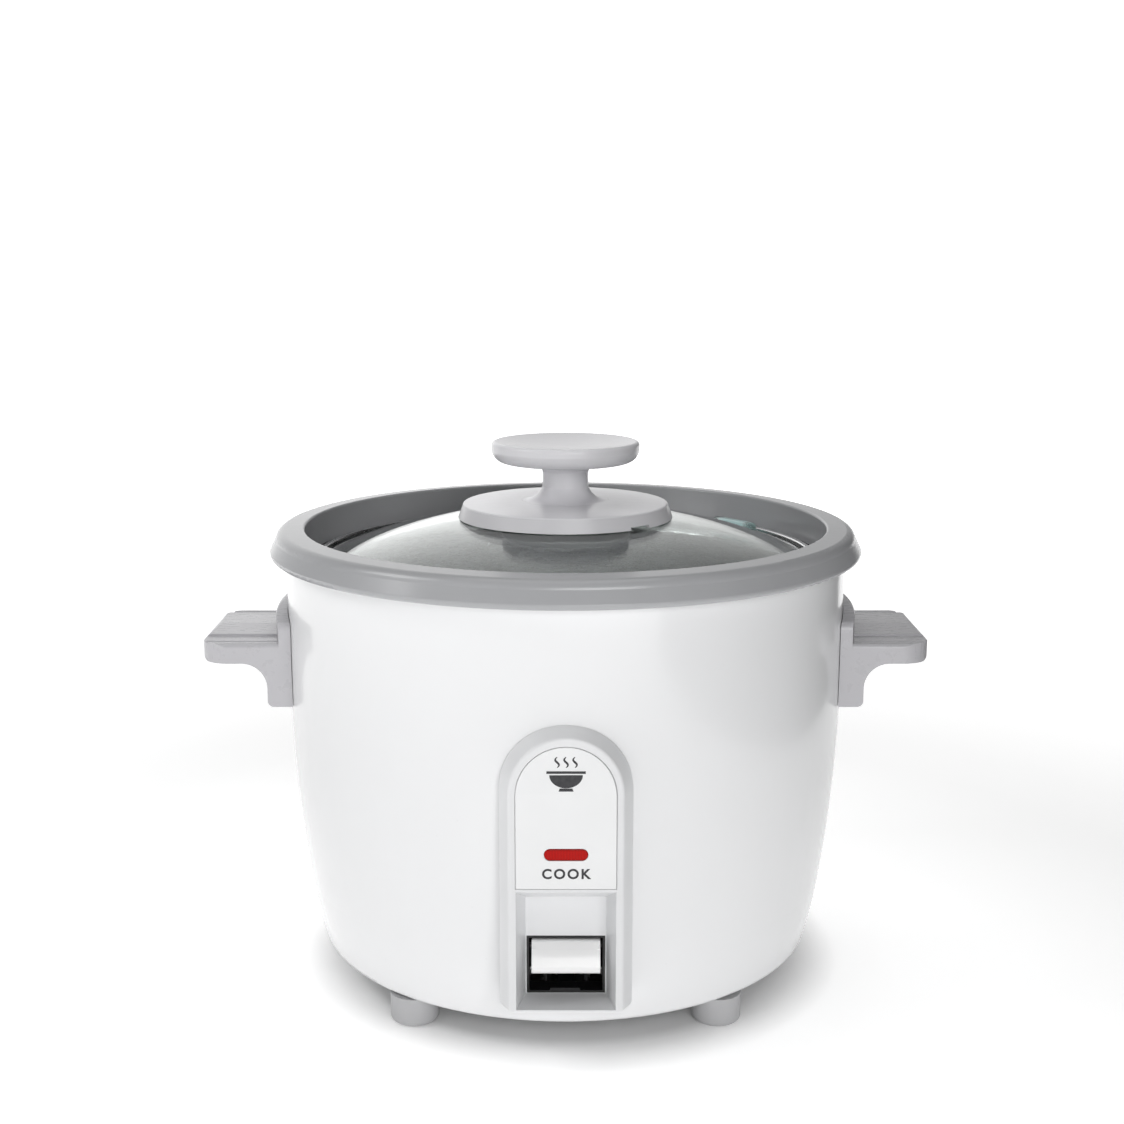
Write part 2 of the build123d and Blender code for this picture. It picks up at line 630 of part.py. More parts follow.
def make_handle(side):
    """One side handle: a grip over a foot that hugs the body. side is +1 or -1."""
    with BuildPart() as handle:
        with BuildSketch(Plane.XZ):
            with BuildLine():
                Polyline((100.0, HANDLE_FOOT_Z), (100.0, HANDLE_TOP_Z), (140.4, HANDLE_TOP_Z))
                ThreePointArc((140.4, HANDLE_TOP_Z), (143.4, 138.5), (HANDLE_TIP_X, 135.4))
                ThreePointArc((HANDLE_TIP_X, 135.4), (143.9, 131.8), (141.2, HANDLE_UNDER_Z))
                Line((141.2, HANDLE_UNDER_Z), (GRIP_ROOT_X + UNDER_FILLET, HANDLE_UNDER_Z))
                ThreePointArc(
                    (GRIP_ROOT_X + UNDER_FILLET, HANDLE_UNDER_Z),
                    (
                        GRIP_ROOT_X + UNDER_FILLET * (1 - cos(radians(45))),
                        HANDLE_UNDER_Z - UNDER_FILLET * (1 - cos(radians(45))),
                    ),
                    (GRIP_ROOT_X, HANDLE_UNDER_Z - UNDER_FILLET),
                )
                Line((GRIP_ROOT_X, HANDLE_UNDER_Z - UNDER_FILLET), (GRIP_ROOT_X, HANDLE_FOOT_Z + 2.4))
                ThreePointArc(
                    (GRIP_ROOT_X, HANDLE_FOOT_Z + 2.4), (GRIP_ROOT_X - 0.7, HANDLE_FOOT_Z + 0.7),
                    (GRIP_ROOT_X - 2.4, HANDLE_FOOT_Z),
                )
                Line((GRIP_ROOT_X - 2.4, HANDLE_FOOT_Z), (100.0, HANDLE_FOOT_Z))
            make_face()
        extrude(amount=HANDLE_HALF_WIDTH, both=True)
        # Seen from the side, the grip's middle is a raised pad between two grooved lips.
        with BuildSketch(Plane.YZ.offset(95.0)):
            with BuildLine():
                Polyline(
                    (-HANDLE_HALF_WIDTH, LIP_Z - 1.8), (-HANDLE_HALF_WIDTH, HANDLE_FOOT_Z - 1),
                    (HANDLE_HALF_WIDTH, HANDLE_FOOT_Z - 1), (HANDLE_HALF_WIDTH, LIP_Z - 1.8),
                )
                round_edge(1)
                Polyline(*grip_top_corners(1))
                Polyline(*grip_top_corners(-1))
                round_edge(-1)
            make_face()
        extrude(amount=60.0, mode=Mode.INTERSECT)
        # Seen from above, the tip has rounded corners and bulges a little.
        with BuildSketch(Plane.XY.offset(HANDLE_FOOT_Z - 2)):
            with BuildLine():
                Line((95.0, HANDLE_HALF_WIDTH), (132.8, HANDLE_HALF_WIDTH))
                ThreePointArc((132.8, HANDLE_HALF_WIDTH), (141.0, 27.6), (144.2, 19.4))
                ThreePointArc((144.2, 19.4), (HANDLE_TIP_X, 0), (144.2, -19.4))
                ThreePointArc((144.2, -19.4), (141.0, -27.6), (132.8, -HANDLE_HALF_WIDTH))
                Polyline((132.8, -HANDLE_HALF_WIDTH), (95.0, -HANDLE_HALF_WIDTH), (95.0, HANDLE_HALF_WIDTH))
            make_face()
        extrude(amount=60.0, mode=Mode.INTERSECT)
        add(handle_crest.part)
        # Hollows in the underside of the grip.
        with BuildSketch(Plane.XY.offset(HANDLE_UNDER_Z)):
            with GridLocations(0, 17.0, 1, 3):
                with Locations((135.2, 0)):
                    RectangleRounded(10.4, 15.2, 2.0)
        extrude(amount=6.0, mode=Mode.SUBTRACT)
        add(body_envelope.part, mode=Mode.SUBTRACT)
        with BuildSketch(Plane.YZ.offset(GRIP_ROOT_X - 2.2)):
            with Locations((-HANDLE_SCREW_Y, HANDLE_SCREW_Z), (HANDLE_SCREW_Y, HANDLE_SCREW_Z)):
                Circle(1.7)
        extrude(amount=-12.0, mode=Mode.SUBTRACT)
    if side > 0:
        return handle.part
    return handle.part.mirror(Plane.YZ)


for handle_name, handle_side in (("handle_left", -1), ("handle_right", 1)):
    handle_part = make_handle(handle_side)
    handle_part.label = handle_name
    export_step(handle_part, f"parts/{handle_name}.step")

HANDLE_HEAD_X = 109.6

with BuildPart() as handle_screws:
    with BuildSketch(Plane.YZ.offset(HANDLE_HEAD_X)):
        with Locations((-HANDLE_SCREW_Y, HANDLE_SCREW_Z), (HANDLE_SCREW_Y, HANDLE_SCREW_Z)):
            Circle(3.2)
    extrude(amount=-2.2)
    with BuildSketch(Plane.YZ.offset(HANDLE_HEAD_X)):
        with Locations((-HANDLE_SCREW_Y, HANDLE_SCREW_Z), (HANDLE_SCREW_Y, HANDLE_SCREW_Z)):
            Circle(1.6)
    extrude(amount=5.6)
    mirror(about=Plane.YZ)
handle_screws.part.label = "handle_screws"
export_step(handle_screws.part, "parts/handle_screws.step")


# ---- Front panel --------------------------------------------------------------------

def recess_block(mouth, back):
    """Flat-sided block from the recess's mouth to its back. Each is distance, half width, low and high."""
    mouth_y, mouth_half, mouth_low, mouth_high = mouth
    back_y, back_half, back_low, back_high = back
    with BuildPart() as block:
        with BuildSketch(Plane.YZ):
            with BuildLine():
                Polyline(
                    (-mouth_y, mouth_low), (-mouth_y, mouth_high), (-back_y, back_high), (-back_y, back_low),
                    (-mouth_y, mouth_low),
                )
            make_face()
        extrude(amount=mouth_half, both=True)
        with BuildSketch(Plane.XY):
            with BuildLine():
                Polyline(
                    (-mouth_half, -mouth_y), (mouth_half, -mouth_y), (back_half, -back_y),
                    (-back_half, -back_y),
                    (-mouth_half, -mouth_y),
                )
            make_face()
        extrude(amount=mouth_high, mode=Mode.INTERSECT)
    return block.part


def flared_arch(distance, width, bottom, top):
    """Arch-topped block that spreads towards the body and then runs straight back, with a level underside."""
    with BuildPart() as block:
        with BuildSketch(FRONT_IN.offset(PANEL_FACE - distance)):
            with BuildLine():
                draw_arch(width, bottom - 10.0, top)
            make_face()
        extrude(amount=PANEL_FLARE_DEPTH, taper=-PANEL_FLARE)
        extrude(block.faces().sort_by(Axis.Y)[-1], amount=15.0)
        with BuildSketch(Plane.XY.offset(bottom)):
            with Locations((0, -distance + 10.0)):
                Rectangle(80.0, 40.0)
        extrude(amount=top, mode=Mode.INTERSECT)
    return block.part


panel_outside = flared_arch(PANEL_FACE, PANEL_WIDTH, PANEL_BOTTOM_Z, PANEL_TOP_Z)
panel_cavity = flared_arch(
    PANEL_FACE - PANEL_WALL, PANEL_WIDTH - 3.0, PANEL_BOTTOM_Z + 1.5, PANEL_TOP_Z - 1.5,
)

recess_outside = recess_block((PANEL_FACE - 1.5, 18.8, 25.0, 72.4), (RECESS_BACK - 1.5, 16.4, 25.6, 66.2))
recess_inside = recess_block((PANEL_FACE + 0.5, 17.78, 26.26, 70.87), (RECESS_BACK, 14.5, 27.2, 64.2))

with BuildPart() as front_panel:
    add(panel_outside)
    low_corners = front_panel.faces().sort_by(Axis.Z)[0].edges().filter_by(Axis.X, reverse=True)
    fillet(low_corners, PANEL_CORNER_R)
    fillet(front_panel.faces().sort_by(Axis.Y)[0].edges(), 1.3)
    # Seat of the face plate.
    with BuildSketch(FRONT_IN):
        with BuildLine():
            draw_arch(FACE_PLATE_WIDTH + 0.4, FACE_PLATE_BOTTOM_Z - 0.2, FACE_PLATE_TOP_Z + 0.2)
        make_face()
    extrude(amount=1.2, mode=Mode.SUBTRACT)
    add(panel_cavity, mode=Mode.SUBTRACT)
    with BuildSketch(FRONT_IN.offset(PANEL_WALL)):
        with Locations(*PANEL_SCREWS):
            Circle(3.2)
    extrude(amount=8.0)
    add(body_envelope.part, mode=Mode.SUBTRACT)
    # Moulded box of the switch recess, which reaches through the body's window.
    add(recess_outside)
    add(recess_inside, mode=Mode.SUBTRACT)
    # Openings for the lens and the panel's screws.
    with BuildSketch(FRONT_IN):
        with Locations((0, LENS_Z)):
            SlotOverall(LENS_LENGTH + 2.6, LENS_HEIGHT + 2.6)
    extrude(amount=PANEL_WALL + 1, mode=Mode.SUBTRACT)
    with BuildSketch(FRONT_IN.offset(2.2)):
        with Locations(*PANEL_SCREWS):
            Circle(1.25)
    extrude(amount=8.0, mode=Mode.SUBTRACT)
    # Switch opening in the back wall.
    with BuildSketch(Plane.XZ.offset(RECESS_BACK + 1)):
        with Locations((0, (OPENING_LOW_Z + OPENING_HIGH_Z) / 2)):
            Rectangle(OPENING_WIDTH, OPENING_HIGH_Z - OPENING_LOW_Z)
    extrude(amount=-4.0, mode=Mode.SUBTRACT)
front_panel.part.label = "front_panel"
export_step(front_panel.part, "parts/front_panel.step")

with BuildPart() as panel_screws:
    with BuildSketch(Plane.XZ.offset(BODY_R - SHELL_WALL - 1.6)):
        with Locations(*PANEL_SCREWS):
            Circle(2.6)
    extrude(amount=-1.8)
    with BuildSketch(Plane.XZ.offset(BODY_R - SHELL_WALL - 2.0)):
        with Locations(*PANEL_SCREWS):
            Circle(1.2)
    extrude(amount=5.0)
panel_screws.part.label = "panel_screws"
export_step(panel_screws.part, "parts/panel_screws.step")

with BuildPart() as face_plate:
    with BuildSketch(FRONT_IN.offset(-0.25)):
        with BuildLine():
            draw_arch(FACE_PLATE_WIDTH, FACE_PLATE_BOTTOM_Z, FACE_PLATE_TOP_Z)
        make_face()
    extrude(amount=1.4)
    fillet(face_plate.faces().sort_by(Axis.Y)[0].edges(), 0.35)
    with BuildSketch(FRONT_IN.offset(-0.5)):
        with Locations((0, LENS_Z)):
            SlotOverall(LENS_LENGTH + 0.2, LENS_HEIGHT + 0.2)
    extrude(amount=3.0, mode=Mode.SUBTRACT)
face_plate.part.label = "face_plate"
export_step(face_plate.part, "parts/face_plate.step")

with BuildPart() as indicator_lens:
    with BuildSketch(FRONT_IN.offset(-0.4)):
        with Locations((0, LENS_Z)):
            SlotOverall(LENS_LENGTH, LENS_HEIGHT)
    extrude(amount=2.4)
    fillet(indicator_lens.faces().sort_by(Axis.Y)[0].edges(), 0.5)
    with BuildSketch(FRONT_IN.offset(1.35)):
        with Locations((0, LENS_Z)):
            SlotOverall(LENS_LENGTH + 2.0, LENS_HEIGHT + 2.0)
    extrude(amount=1.6)
indicator_lens.part.label = "indicator_lens"
export_step(indicator_lens.part, "parts/indicator_lens.step")

LAMP_DISTANCE = 107.7
LAMP_R = 2.4

with BuildPart() as lamp_holder:
    with BuildSketch(Plane.XZ.offset(LAMP_DISTANCE - 4.2)):
        with Locations((0, LENS_Z)):
            Rectangle(28.4, 12.0)
    extrude(amount=1.5)
    with BuildSketch(Plane.XZ.offset(LAMP_DISTANCE - 2.7)):
        with Locations((-13.2, LENS_Z), (13.2, LENS_Z)):
            Rectangle(2.0, 8.0)
    extrude(amount=3.5)
lamp_holder.part.label = "lamp_holder"
export_step(lamp_holder.part, "parts/lamp_holder.step")

with BuildPart() as neon_lamp:
    with BuildSketch(Plane.YZ.offset(-8.5)):
        with Locations((-LAMP_DISTANCE, LENS_Z)):
            Circle(LAMP_R)
    extrude(amount=17.0)
    fillet(neon_lamp.edges().group_by(Axis.X)[-1], 2.2)
neon_lamp.part.label = "neon_lamp"
export_step(neon_lamp.part, "parts/neon_lamp.step")

FRAME_WALL = 0.85
FRAME_BACK = 98.0

with BuildPart() as switch_frame:
    frame_mid_z = (OPENING_LOW_Z + OPENING_HIGH_Z) / 2
    frame_height = OPENING_HIGH_Z - OPENING_LOW_Z - 0.1
    with BuildSketch(Plane.XZ.offset(FRAME_BACK)):
        with Locations((0, frame_mid_z)):
            Rectangle(OPENING_WIDTH - 0.1, frame_height)
    extrude(amount=RECESS_BACK - FRAME_BACK)
    # Snap wings behind the recess's back wall.
    with BuildSketch(Plane.XZ.offset(RECESS_BACK - 2.9)):
        with Locations((0, frame_mid_z)):
            Rectangle(OPENING_WIDTH + 3.6, frame_height)
    extrude(amount=1.2)
    with BuildSketch(Plane.XZ.offset(FRAME_BACK - 1)):
        with Locations((0, frame_mid_z)):
            Rectangle(OPENING_WIDTH - 0.1 - 2 * FRAME_WALL, frame_height - 2 * FRAME_WALL)
    extrude(amount=RECESS_BACK - FRAME_BACK + 2, mode=Mode.SUBTRACT)
    # Small locating tab inside the lower edge.
    with BuildSketch(Plane.XZ.offset(RECESS_BACK - 1.2)):
        with Locations((-0.3, OPENING_LOW_Z + FRAME_WALL + 0.4)):
            Rectangle(10.9, 1.2)
    extrude(amount=1.2)
switch_frame.part.label = "switch_frame"
export_step(switch_frame.part, "parts/switch_frame.step")


# ---- Cook lever and its switch ------------------------------------------------------

KEY_BACK_Y = -100.0

with BuildPart() as switch_key:
    with BuildSketch(Plane.YZ.offset(-KEY_HALF_WIDTH)):
        with BuildLine():
            Polyline((KEY_BACK_Y, 45.4), (KEY_BACK_Y, 47.6), (-107.6, 48.1), (-108.4, 47.8))
            ThreePointArc((-108.4, 47.8), (-111.2, 44.1), (-113.0, 40.2))
            ThreePointArc((-113.0, 40.2), (-112.4, 38.0), (-110.4, 37.0))
            Polyline((-110.4, 37.0), (-109.5, 38.2), (-109.6, 45.4), (KEY_BACK_Y, 45.4))
        make_face()
    extrude(amount=2 * KEY_HALF_WIDTH)
    # Side cheeks, and a stem that clips over the arm.
    for cheek_x in (-KEY_HALF_WIDTH, KEY_HALF_WIDTH - 1.2):
        with BuildSketch(Plane.YZ.offset(cheek_x)):
            with BuildLine():
                Polyline(
                    (KEY_BACK_Y, 46.0), (-110.2, 46.0), (-111.0, 38.2), (KEY_BACK_Y, 39.4), (KEY_BACK_Y, 46.0),
                )
            make_face()
        extrude(amount=1.2)
switch_key.part.label = "switch_key"
export_step(switch_key.part, "parts/switch_key.step")

FORK_NOSE_R = 1.6
FORK_NOSE_Z = COLLAR_Z - 0.35 - FORK_NOSE_R

with BuildPart() as lever_arm:
    with BuildSketch(Plane.YZ.offset(-ARM_HALF_WIDTH)):
        with BuildLine():
            Polyline(
                (-108.9, 45.1), (-99.0, 45.1), (-84.0, 37.5), (-70.0, 31.8), (-52.0, 30.0),
                (-26.0, 30.0), (-12.0, 27.2), (-9.5, 27.2), (-9.5, 24.2), (-30.0, 22.6), (-46.0, 22.6),
                (-52.0, 25.6), (-68.0, 25.6), (-88.0, 33.2), (-97.0, 39.2), (-108.9, 39.6), (-108.9, 45.1),
            )
        make_face()
    extrude(amount=2 * ARM_HALF_WIDTH)
    # Two fork fingers with a round nose each, one on either side of the magnet's rod.
    with BuildSketch(Plane.XY.offset(24.2)):
        with Locations((-4.8, -4.5), (4.8, -4.5)):
            Rectangle(2.4, 12.0)
    extrude(amount=FORK_NOSE_Z - 24.2 + 0.6)
    with BuildSketch(Plane.YZ.offset(-ARM_HALF_WIDTH)):
        with Locations((0, FORK_NOSE_Z)):
            Circle(FORK_NOSE_R)
    extrude(amount=2.4)
    with BuildSketch(Plane.YZ.offset(ARM_HALF_WIDTH)):
        with Locations((0, FORK_NOSE_Z)):
            Circle(FORK_NOSE_R)
    extrude(amount=-2.4)
    with BuildSketch(Plane.YZ.offset(-ARM_HALF_WIDTH - 1)):
        with Locations((PIVOT_Y, PIVOT_Z)):
            Circle(LEVER_BORE_R)
    extrude(amount=2 * ARM_HALF_WIDTH + 2, mode=Mode.SUBTRACT)
lever_arm.part.label = "lever_arm"
export_step(lever_arm.part, "parts/lever_arm.step")

BRACKET_TOP_Z = SENSOR_FLOOR_Z - 1.0
RIVETS = [(-66.0, 17.0), (-54.0, 17.0)]

with BuildPart() as switch_bracket:
    for plate_x in (-BRACKET_INNER_X - BRACKET_WALL, BRACKET_INNER_X):
        with BuildSketch(Plane.YZ.offset(plate_x)):
            with BuildLine():
                Polyline(
                    (-72.0, 14.0), (-72.0, 24.0), (-48.0, 34.0), (-48.0, BRACKET_TOP_Z),
                    (-14.0, BRACKET_TOP_Z),
                    (-14.0, 33.0), (-30.0, 20.0), (-48.0, 14.0), (-72.0, 14.0),
                )
            make_face()
            with Locations((PIVOT_Y, PIVOT_Z)):
                Circle(PIVOT_R, mode=Mode.SUBTRACT)
            with Locations(*RIVETS):
                Circle(1.2, mode=Mode.SUBTRACT)
        extrude(amount=BRACKET_WALL)
    with BuildSketch(Plane.XY.offset(BRACKET_TOP_Z - BRACKET_WALL)):
        with Locations((0, -31.0)):
            Rectangle(2 * BRACKET_INNER_X + 2 * BRACKET_WALL, 34.0)
    extrude(amount=BRACKET_WALL)
switch_bracket.part.label = "switch_bracket"
export_step(switch_bracket.part, "parts/switch_bracket.step")

with BuildPart() as pivot_pin:
    with BuildSketch(Plane.YZ.offset(-BRACKET_INNER_X - BRACKET_WALL - 1.4)):
        with Locations((PIVOT_Y, PIVOT_Z)):
            Circle(PIVOT_R)
    extrude(amount=2 * (BRACKET_INNER_X + BRACKET_WALL + 1.4))
    with BuildSketch(Plane.YZ.offset(BRACKET_INNER_X + BRACKET_WALL)):
        with Locations((PIVOT_Y, PIVOT_Z)):
            Circle(2.4)
    extrude(amount=1.4)
    with BuildSketch(Plane.YZ.offset(-BRACKET_INNER_X - BRACKET_WALL)):
        with Locations((PIVOT_Y, PIVOT_Z)):
            Circle(2.4)
    extrude(amount=-1.4)
pivot_pin.part.label = "pivot_pin"
export_step(pivot_pin.part, "parts/pivot_pin.step")

SWITCH_HALF_WIDTH = 3.2
SWITCH_TOP_Z = 21.4
SWITCH_LOW_Z = 12.8
PLUNGER_R = 1.4
PLUNGER_TOP_Z = 25.3

with BuildPart() as micro_switch:
    with BuildSketch(Plane.YZ.offset(-SWITCH_HALF_WIDTH)):
        with Locations((PLUNGER_Y, (SWITCH_TOP_Z + SWITCH_LOW_Z) / 2)):
            Rectangle(20.0, SWITCH_TOP_Z - SWITCH_LOW_Z)
        with Locations(*RIVETS):
            Circle(1.2, mode=Mode.SUBTRACT)
    extrude(amount=2 * SWITCH_HALF_WIDTH)
    with BuildSketch(Plane.XY.offset(SWITCH_TOP_Z)):
        with Locations((0, PLUNGER_Y)):
            Circle(PLUNGER_R + 0.3)
    extrude(amount=-6.0, mode=Mode.SUBTRACT)
    # Three solder tags at the rear.
    with BuildSketch(Plane.XZ.offset(-(PLUNGER_Y + 10.0))):
        with Locations((0, 14.6), (0, 17.4), (0, 20.2)):
            Rectangle(3.2, 0.6)
    extrude(amount=-5.0)
micro_switch.part.label = "micro_switch"
export_step(micro_switch.part, "parts/micro_switch.step")

with BuildPart() as switch_plunger:
    with BuildSketch(Plane.XY.offset(SWITCH_TOP_Z - 2.4)):
        with Locations((0, PLUNGER_Y)):
            Circle(PLUNGER_R)
    extrude(amount=PLUNGER_TOP_Z - SWITCH_TOP_Z + 2.4)
    fillet(switch_plunger.edges().group_by(Axis.Z)[-1], 0.6)
switch_plunger.part.label = "switch_plunger"
export_step(switch_plunger.part, "parts/switch_plunger.step")

with BuildPart() as switch_rivets:
    rivet_end = BRACKET_INNER_X + BRACKET_WALL
    with BuildSketch(Plane.YZ.offset(-rivet_end)):
        with Locations(*RIVETS):
            Circle(1.15)
    extrude(amount=2 * rivet_end)
    for cap_x, cap_height in ((rivet_end, 1.0), (-rivet_end, -1.0)):
        with BuildSketch(Plane.YZ.offset(cap_x)):
            with Locations(*RIVETS):
                Circle(2.0)
        extrude(amount=cap_height)
switch_rivets.part.label = "switch_rivets"
export_step(switch_rivets.part, "parts/switch_rivets.step")


# ---- Heater -------------------------------------------------------------------------

TUBE_Z = 49.6
ELEMENT_SWEEP = 300.0
ELEMENT_START = 120.0        # the element's ends hang down at the back, either side of +Y

with BuildPart() as heater_plate:
    with BuildSketch(Plane.XZ):
        with BuildLine():
            Polyline(
                (SENSOR_HOLE_R, PLATE_HUB_Z), (SENSOR_HOLE_R, PLATE_TOP_Z - 0.6),
                (SENSOR_HOLE_R + 0.6, PLATE_TOP_Z),
                (PLATE_R - 2.0, PLATE_TOP_Z), (PLATE_R, PLATE_TOP_Z - 2.0), (PLATE_R, 53.6),
                (69.0, 53.0), (66.0, 50.0), (50.0, 50.0), (46.0, PLATE_HUB_Z), (SENSOR_HOLE_R, PLATE_HUB_Z),
            )
        make_face()
    revolve(axis=Axis.Z)
    with BuildSketch(Plane.XZ):
        with Locations((TUBE_RING_R, TUBE_Z)):
            Circle(TUBE_R + 0.1)
    revolve(axis=Axis.Z, mode=Mode.SUBTRACT)
    with BuildSketch(Plane.XY.offset(53.0)):
        with Locations(*POSTS):
            Circle(1.9)
    extrude(amount=6.0, mode=Mode.SUBTRACT)
heater_plate.part.label = "heater_plate"
export_step(heater_plate.part, "parts/heater_plate.step")

with BuildPart() as heating_element:
    with BuildSketch(Plane.XZ.rotated((0, 0, ELEMENT_START))):
        with Locations((TUBE_RING_R, TUBE_Z)):
            Circle(TUBE_R)
    revolve(axis=Axis.Z, revolution_arc=ELEMENT_SWEEP)
    end_angles = (ELEMENT_START + 2.5, ELEMENT_START + ELEMENT_SWEEP - 2.5)
    with BuildSketch(Plane.XY.offset(TUBE_Z)):
        with Locations(*[(TUBE_RING_R * cos(radians(a)), TUBE_RING_R * sin(radians(a))) for a in end_angles]):
            Circle(TUBE_R - 1.4)
    extrude(amount=-13.0)
heating_element.part.label = "heating_element"
export_step(heating_element.part, "parts/heating_element.step")

POST_TOP_Z = 53.0

with BuildPart() as heater_posts:
    with BuildSketch(Plane.XY.offset(WELL_FLOOR_Z)):
        with Locations(*POSTS):
            Circle(4.0)
            Circle(2.0, mode=Mode.SUBTRACT)
    extrude(amount=POST_TOP_Z - WELL_FLOOR_Z)
heater_posts.part.label = "heater_posts"
export_step(heater_posts.part, "parts/heater_posts.step")

with BuildPart() as heater_screws:
    with BuildSketch(Plane.XY.offset(WELL_FLOOR_Z - 0.8)):
        with Locations(*POSTS):
            RegularPolygon(3.8, 6)
    extrude(amount=-2.6)
    with BuildSketch(Plane.XY.offset(WELL_FLOOR_Z - 0.8)):
        with Locations(*POSTS):
            Circle(1.8)
    extrude(amount=13.0)
heater_screws.part.label = "heater_screws"
export_step(heater_screws.part, "parts/heater_screws.step")


# ---- Thermostat ---------------------------------------------------------------------

HOUSING_R = 23.5
CAP_R = 18.0
CAP_FLANGE_R = 21.4
CAP_FLANGE_Z = 48.2
FERRITE_LOW_Z = 57.2

with BuildPart() as sensor_housing:
    with BuildSketch(Plane.XZ):
        with BuildLine():
            Polyline(
                (3.5, SENSOR_FLOOR_Z), (3.5, SENSOR_FLOOR_Z - 1.0), (HOUSING_R, SENSOR_FLOOR_Z - 1.0),
                (HOUSING_R, 50.8), (31.0, 50.8), (31.0, PLATE_HUB_Z - 0.1),
                (HOUSING_R - 1.0, PLATE_HUB_Z - 0.1),
                (HOUSING_R - 1.0, SENSOR_FLOOR_Z), (3.5, SENSOR_FLOOR_Z),
            )
        make_face()
    revolve(axis=Axis.Z)
sensor_housing.part.label = "sensor_housing"
export_step(sensor_housing.part, "parts/sensor_housing.step")

with BuildPart() as sensor_cap:
    with BuildSketch(Plane.XZ):
        with BuildLine():
            Polyline(
                (0, PLATE_TOP_Z), (CAP_R - 1.2, PLATE_TOP_Z), (CAP_R, PLATE_TOP_Z - 1.2),
                (CAP_R, CAP_FLANGE_Z + 0.8),
                (CAP_FLANGE_R, CAP_FLANGE_Z + 0.8), (CAP_FLANGE_R, CAP_FLANGE_Z), (CAP_R - 0.8, CAP_FLANGE_Z),
                (CAP_R - 0.8, PLATE_TOP_Z - 1.5), (CAP_R - 1.5, PLATE_TOP_Z - 0.8), (0, PLATE_TOP_Z - 0.8),
                (0, PLATE_TOP_Z),
            )
        make_face()
    revolve(axis=Axis.Z)
sensor_cap.part.label = "sensor_cap"
export_step(sensor_cap.part, "parts/sensor_cap.step")

with BuildPart() as ferrite_disc:
    with BuildSketch(Plane.XY.offset(FERRITE_LOW_Z)):
        Circle(14.0)
    extrude(amount=PLATE_TOP_Z - 0.85 - FERRITE_LOW_Z)
ferrite_disc.part.label = "ferrite_disc"
export_step(ferrite_disc.part, "parts/ferrite_disc.step")

with BuildPart() as magnet_carrier:
    with BuildSketch(Plane.XZ):
        with BuildLine():
            Polyline(
                (0, 46.8), (ROD_R, 46.0), (13.4, 46.0), (13.4, MAGNET_TOP_Z - 1.0),
                (12.6, MAGNET_TOP_Z - 1.0),
                (12.6, 46.8), (0, 46.8),
            )
        make_face()
    revolve(axis=Axis.Z)
    with BuildSketch(Plane.XY.offset(20.0)):
        Circle(ROD_R)
    extrude(amount=26.7)
    with BuildSketch(Plane.XY.offset(COLLAR_Z)):
        Circle(7.5)
    extrude(amount=1.4)
magnet_carrier.part.label = "magnet_carrier"
export_step(magnet_carrier.part, "parts/magnet_carrier.step")

with BuildPart() as magnet_disc:
    with BuildSketch(Plane.XY.offset(46.85)):
        Circle(12.5)
    extrude(amount=MAGNET_TOP_Z - 46.85)
magnet_disc.part.label = "magnet_disc"
export_step(magnet_disc.part, "parts/magnet_disc.step")


def coil_spring(coil_r, wire_r, low, high, turns):
    """Open coil spring on the Z axis whose wire fills the height from low to high."""
    with BuildPart() as spring:
        with BuildLine():
            Helix(
                pitch=(high - low - 2 * wire_r) / turns, height=high - low - 2 * wire_r,
                radius=coil_r, center=(0, 0, low + wire_r),
            )
        with BuildSketch(Plane.XZ):
            with Locations((coil_r, low + wire_r)):
                Circle(wire_r)
        sweep(is_frenet=True)
    return spring.part


SPRINGS = {
    "sensor_spring": (20.0, 0.6, SENSOR_FLOOR_Z + 0.1, CAP_FLANGE_Z - 0.1, 4.5),
    "magnet_spring": (5.2, 0.4, COLLAR_Z + 1.5, SENSOR_FLOOR_Z - 1.1, 6),
}
for spring_name, spring_sizes in SPRINGS.items():
    spring_part = coil_spring(*spring_sizes)
    spring_part.label = spring_name
    export_step(spring_part, f"parts/{spring_name}.step")


# ---- Mains inlet and wiring ---------------------------------------------------------

with BuildPart() as inlet_housing:
    with BuildSketch(REAR_IN):
        with Locations((0, INLET_Z)):
            RectangleRounded(50.0, 30.0, 5.0)
    extrude(amount=16.0, taper=-8)
    fillet(inlet_housing.faces().sort_by(Axis.Y)[-1].edges(), 1.2)
    add(body_envelope.part, mode=Mode.SUBTRACT)
    with BuildSketch(REAR_IN.offset(1.4)):
        with Locations((0, INLET_Z)):
            Rectangle(34.0, 24.0)
    extrude(amount=25.0)
    with BuildSketch(REAR_IN):
        with Locations((0, INLET_Z)):
            RectangleRounded(27.0, 17.0, 2.5)
    extrude(amount=20.0, mode=Mode.SUBTRACT)
    with BuildSketch(REAR_IN):
        with Locations((-INLET_PIN_X, INLET_Z), (INLET_PIN_X, INLET_Z)):
            Circle(2.0)
    extrude(amount=30.0, mode=Mode.SUBTRACT)
    with BuildSketch(REAR_IN):
        with Locations((-21.0, INLET_Z), (21.0, INLET_Z)):
            Circle(1.4)
    extrude(amount=12.0, mode=Mode.SUBTRACT)
inlet_housing.part.label = "inlet_housing"
export_step(inlet_housing.part, "parts/inlet_housing.step")

with BuildPart() as inlet_pins:
    with BuildSketch(REAR_IN.offset(5.0)):
        with Locations((-INLET_PIN_X, INLET_Z), (INLET_PIN_X, INLET_Z)):
            Circle(1.95)
    extrude(amount=27.0)
    fillet(inlet_pins.edges().group_by(Axis.Y)[-1], 1.2)
inlet_pins.part.label = "inlet_pins"
export_step(inlet_pins.part, "parts/inlet_pins.step")

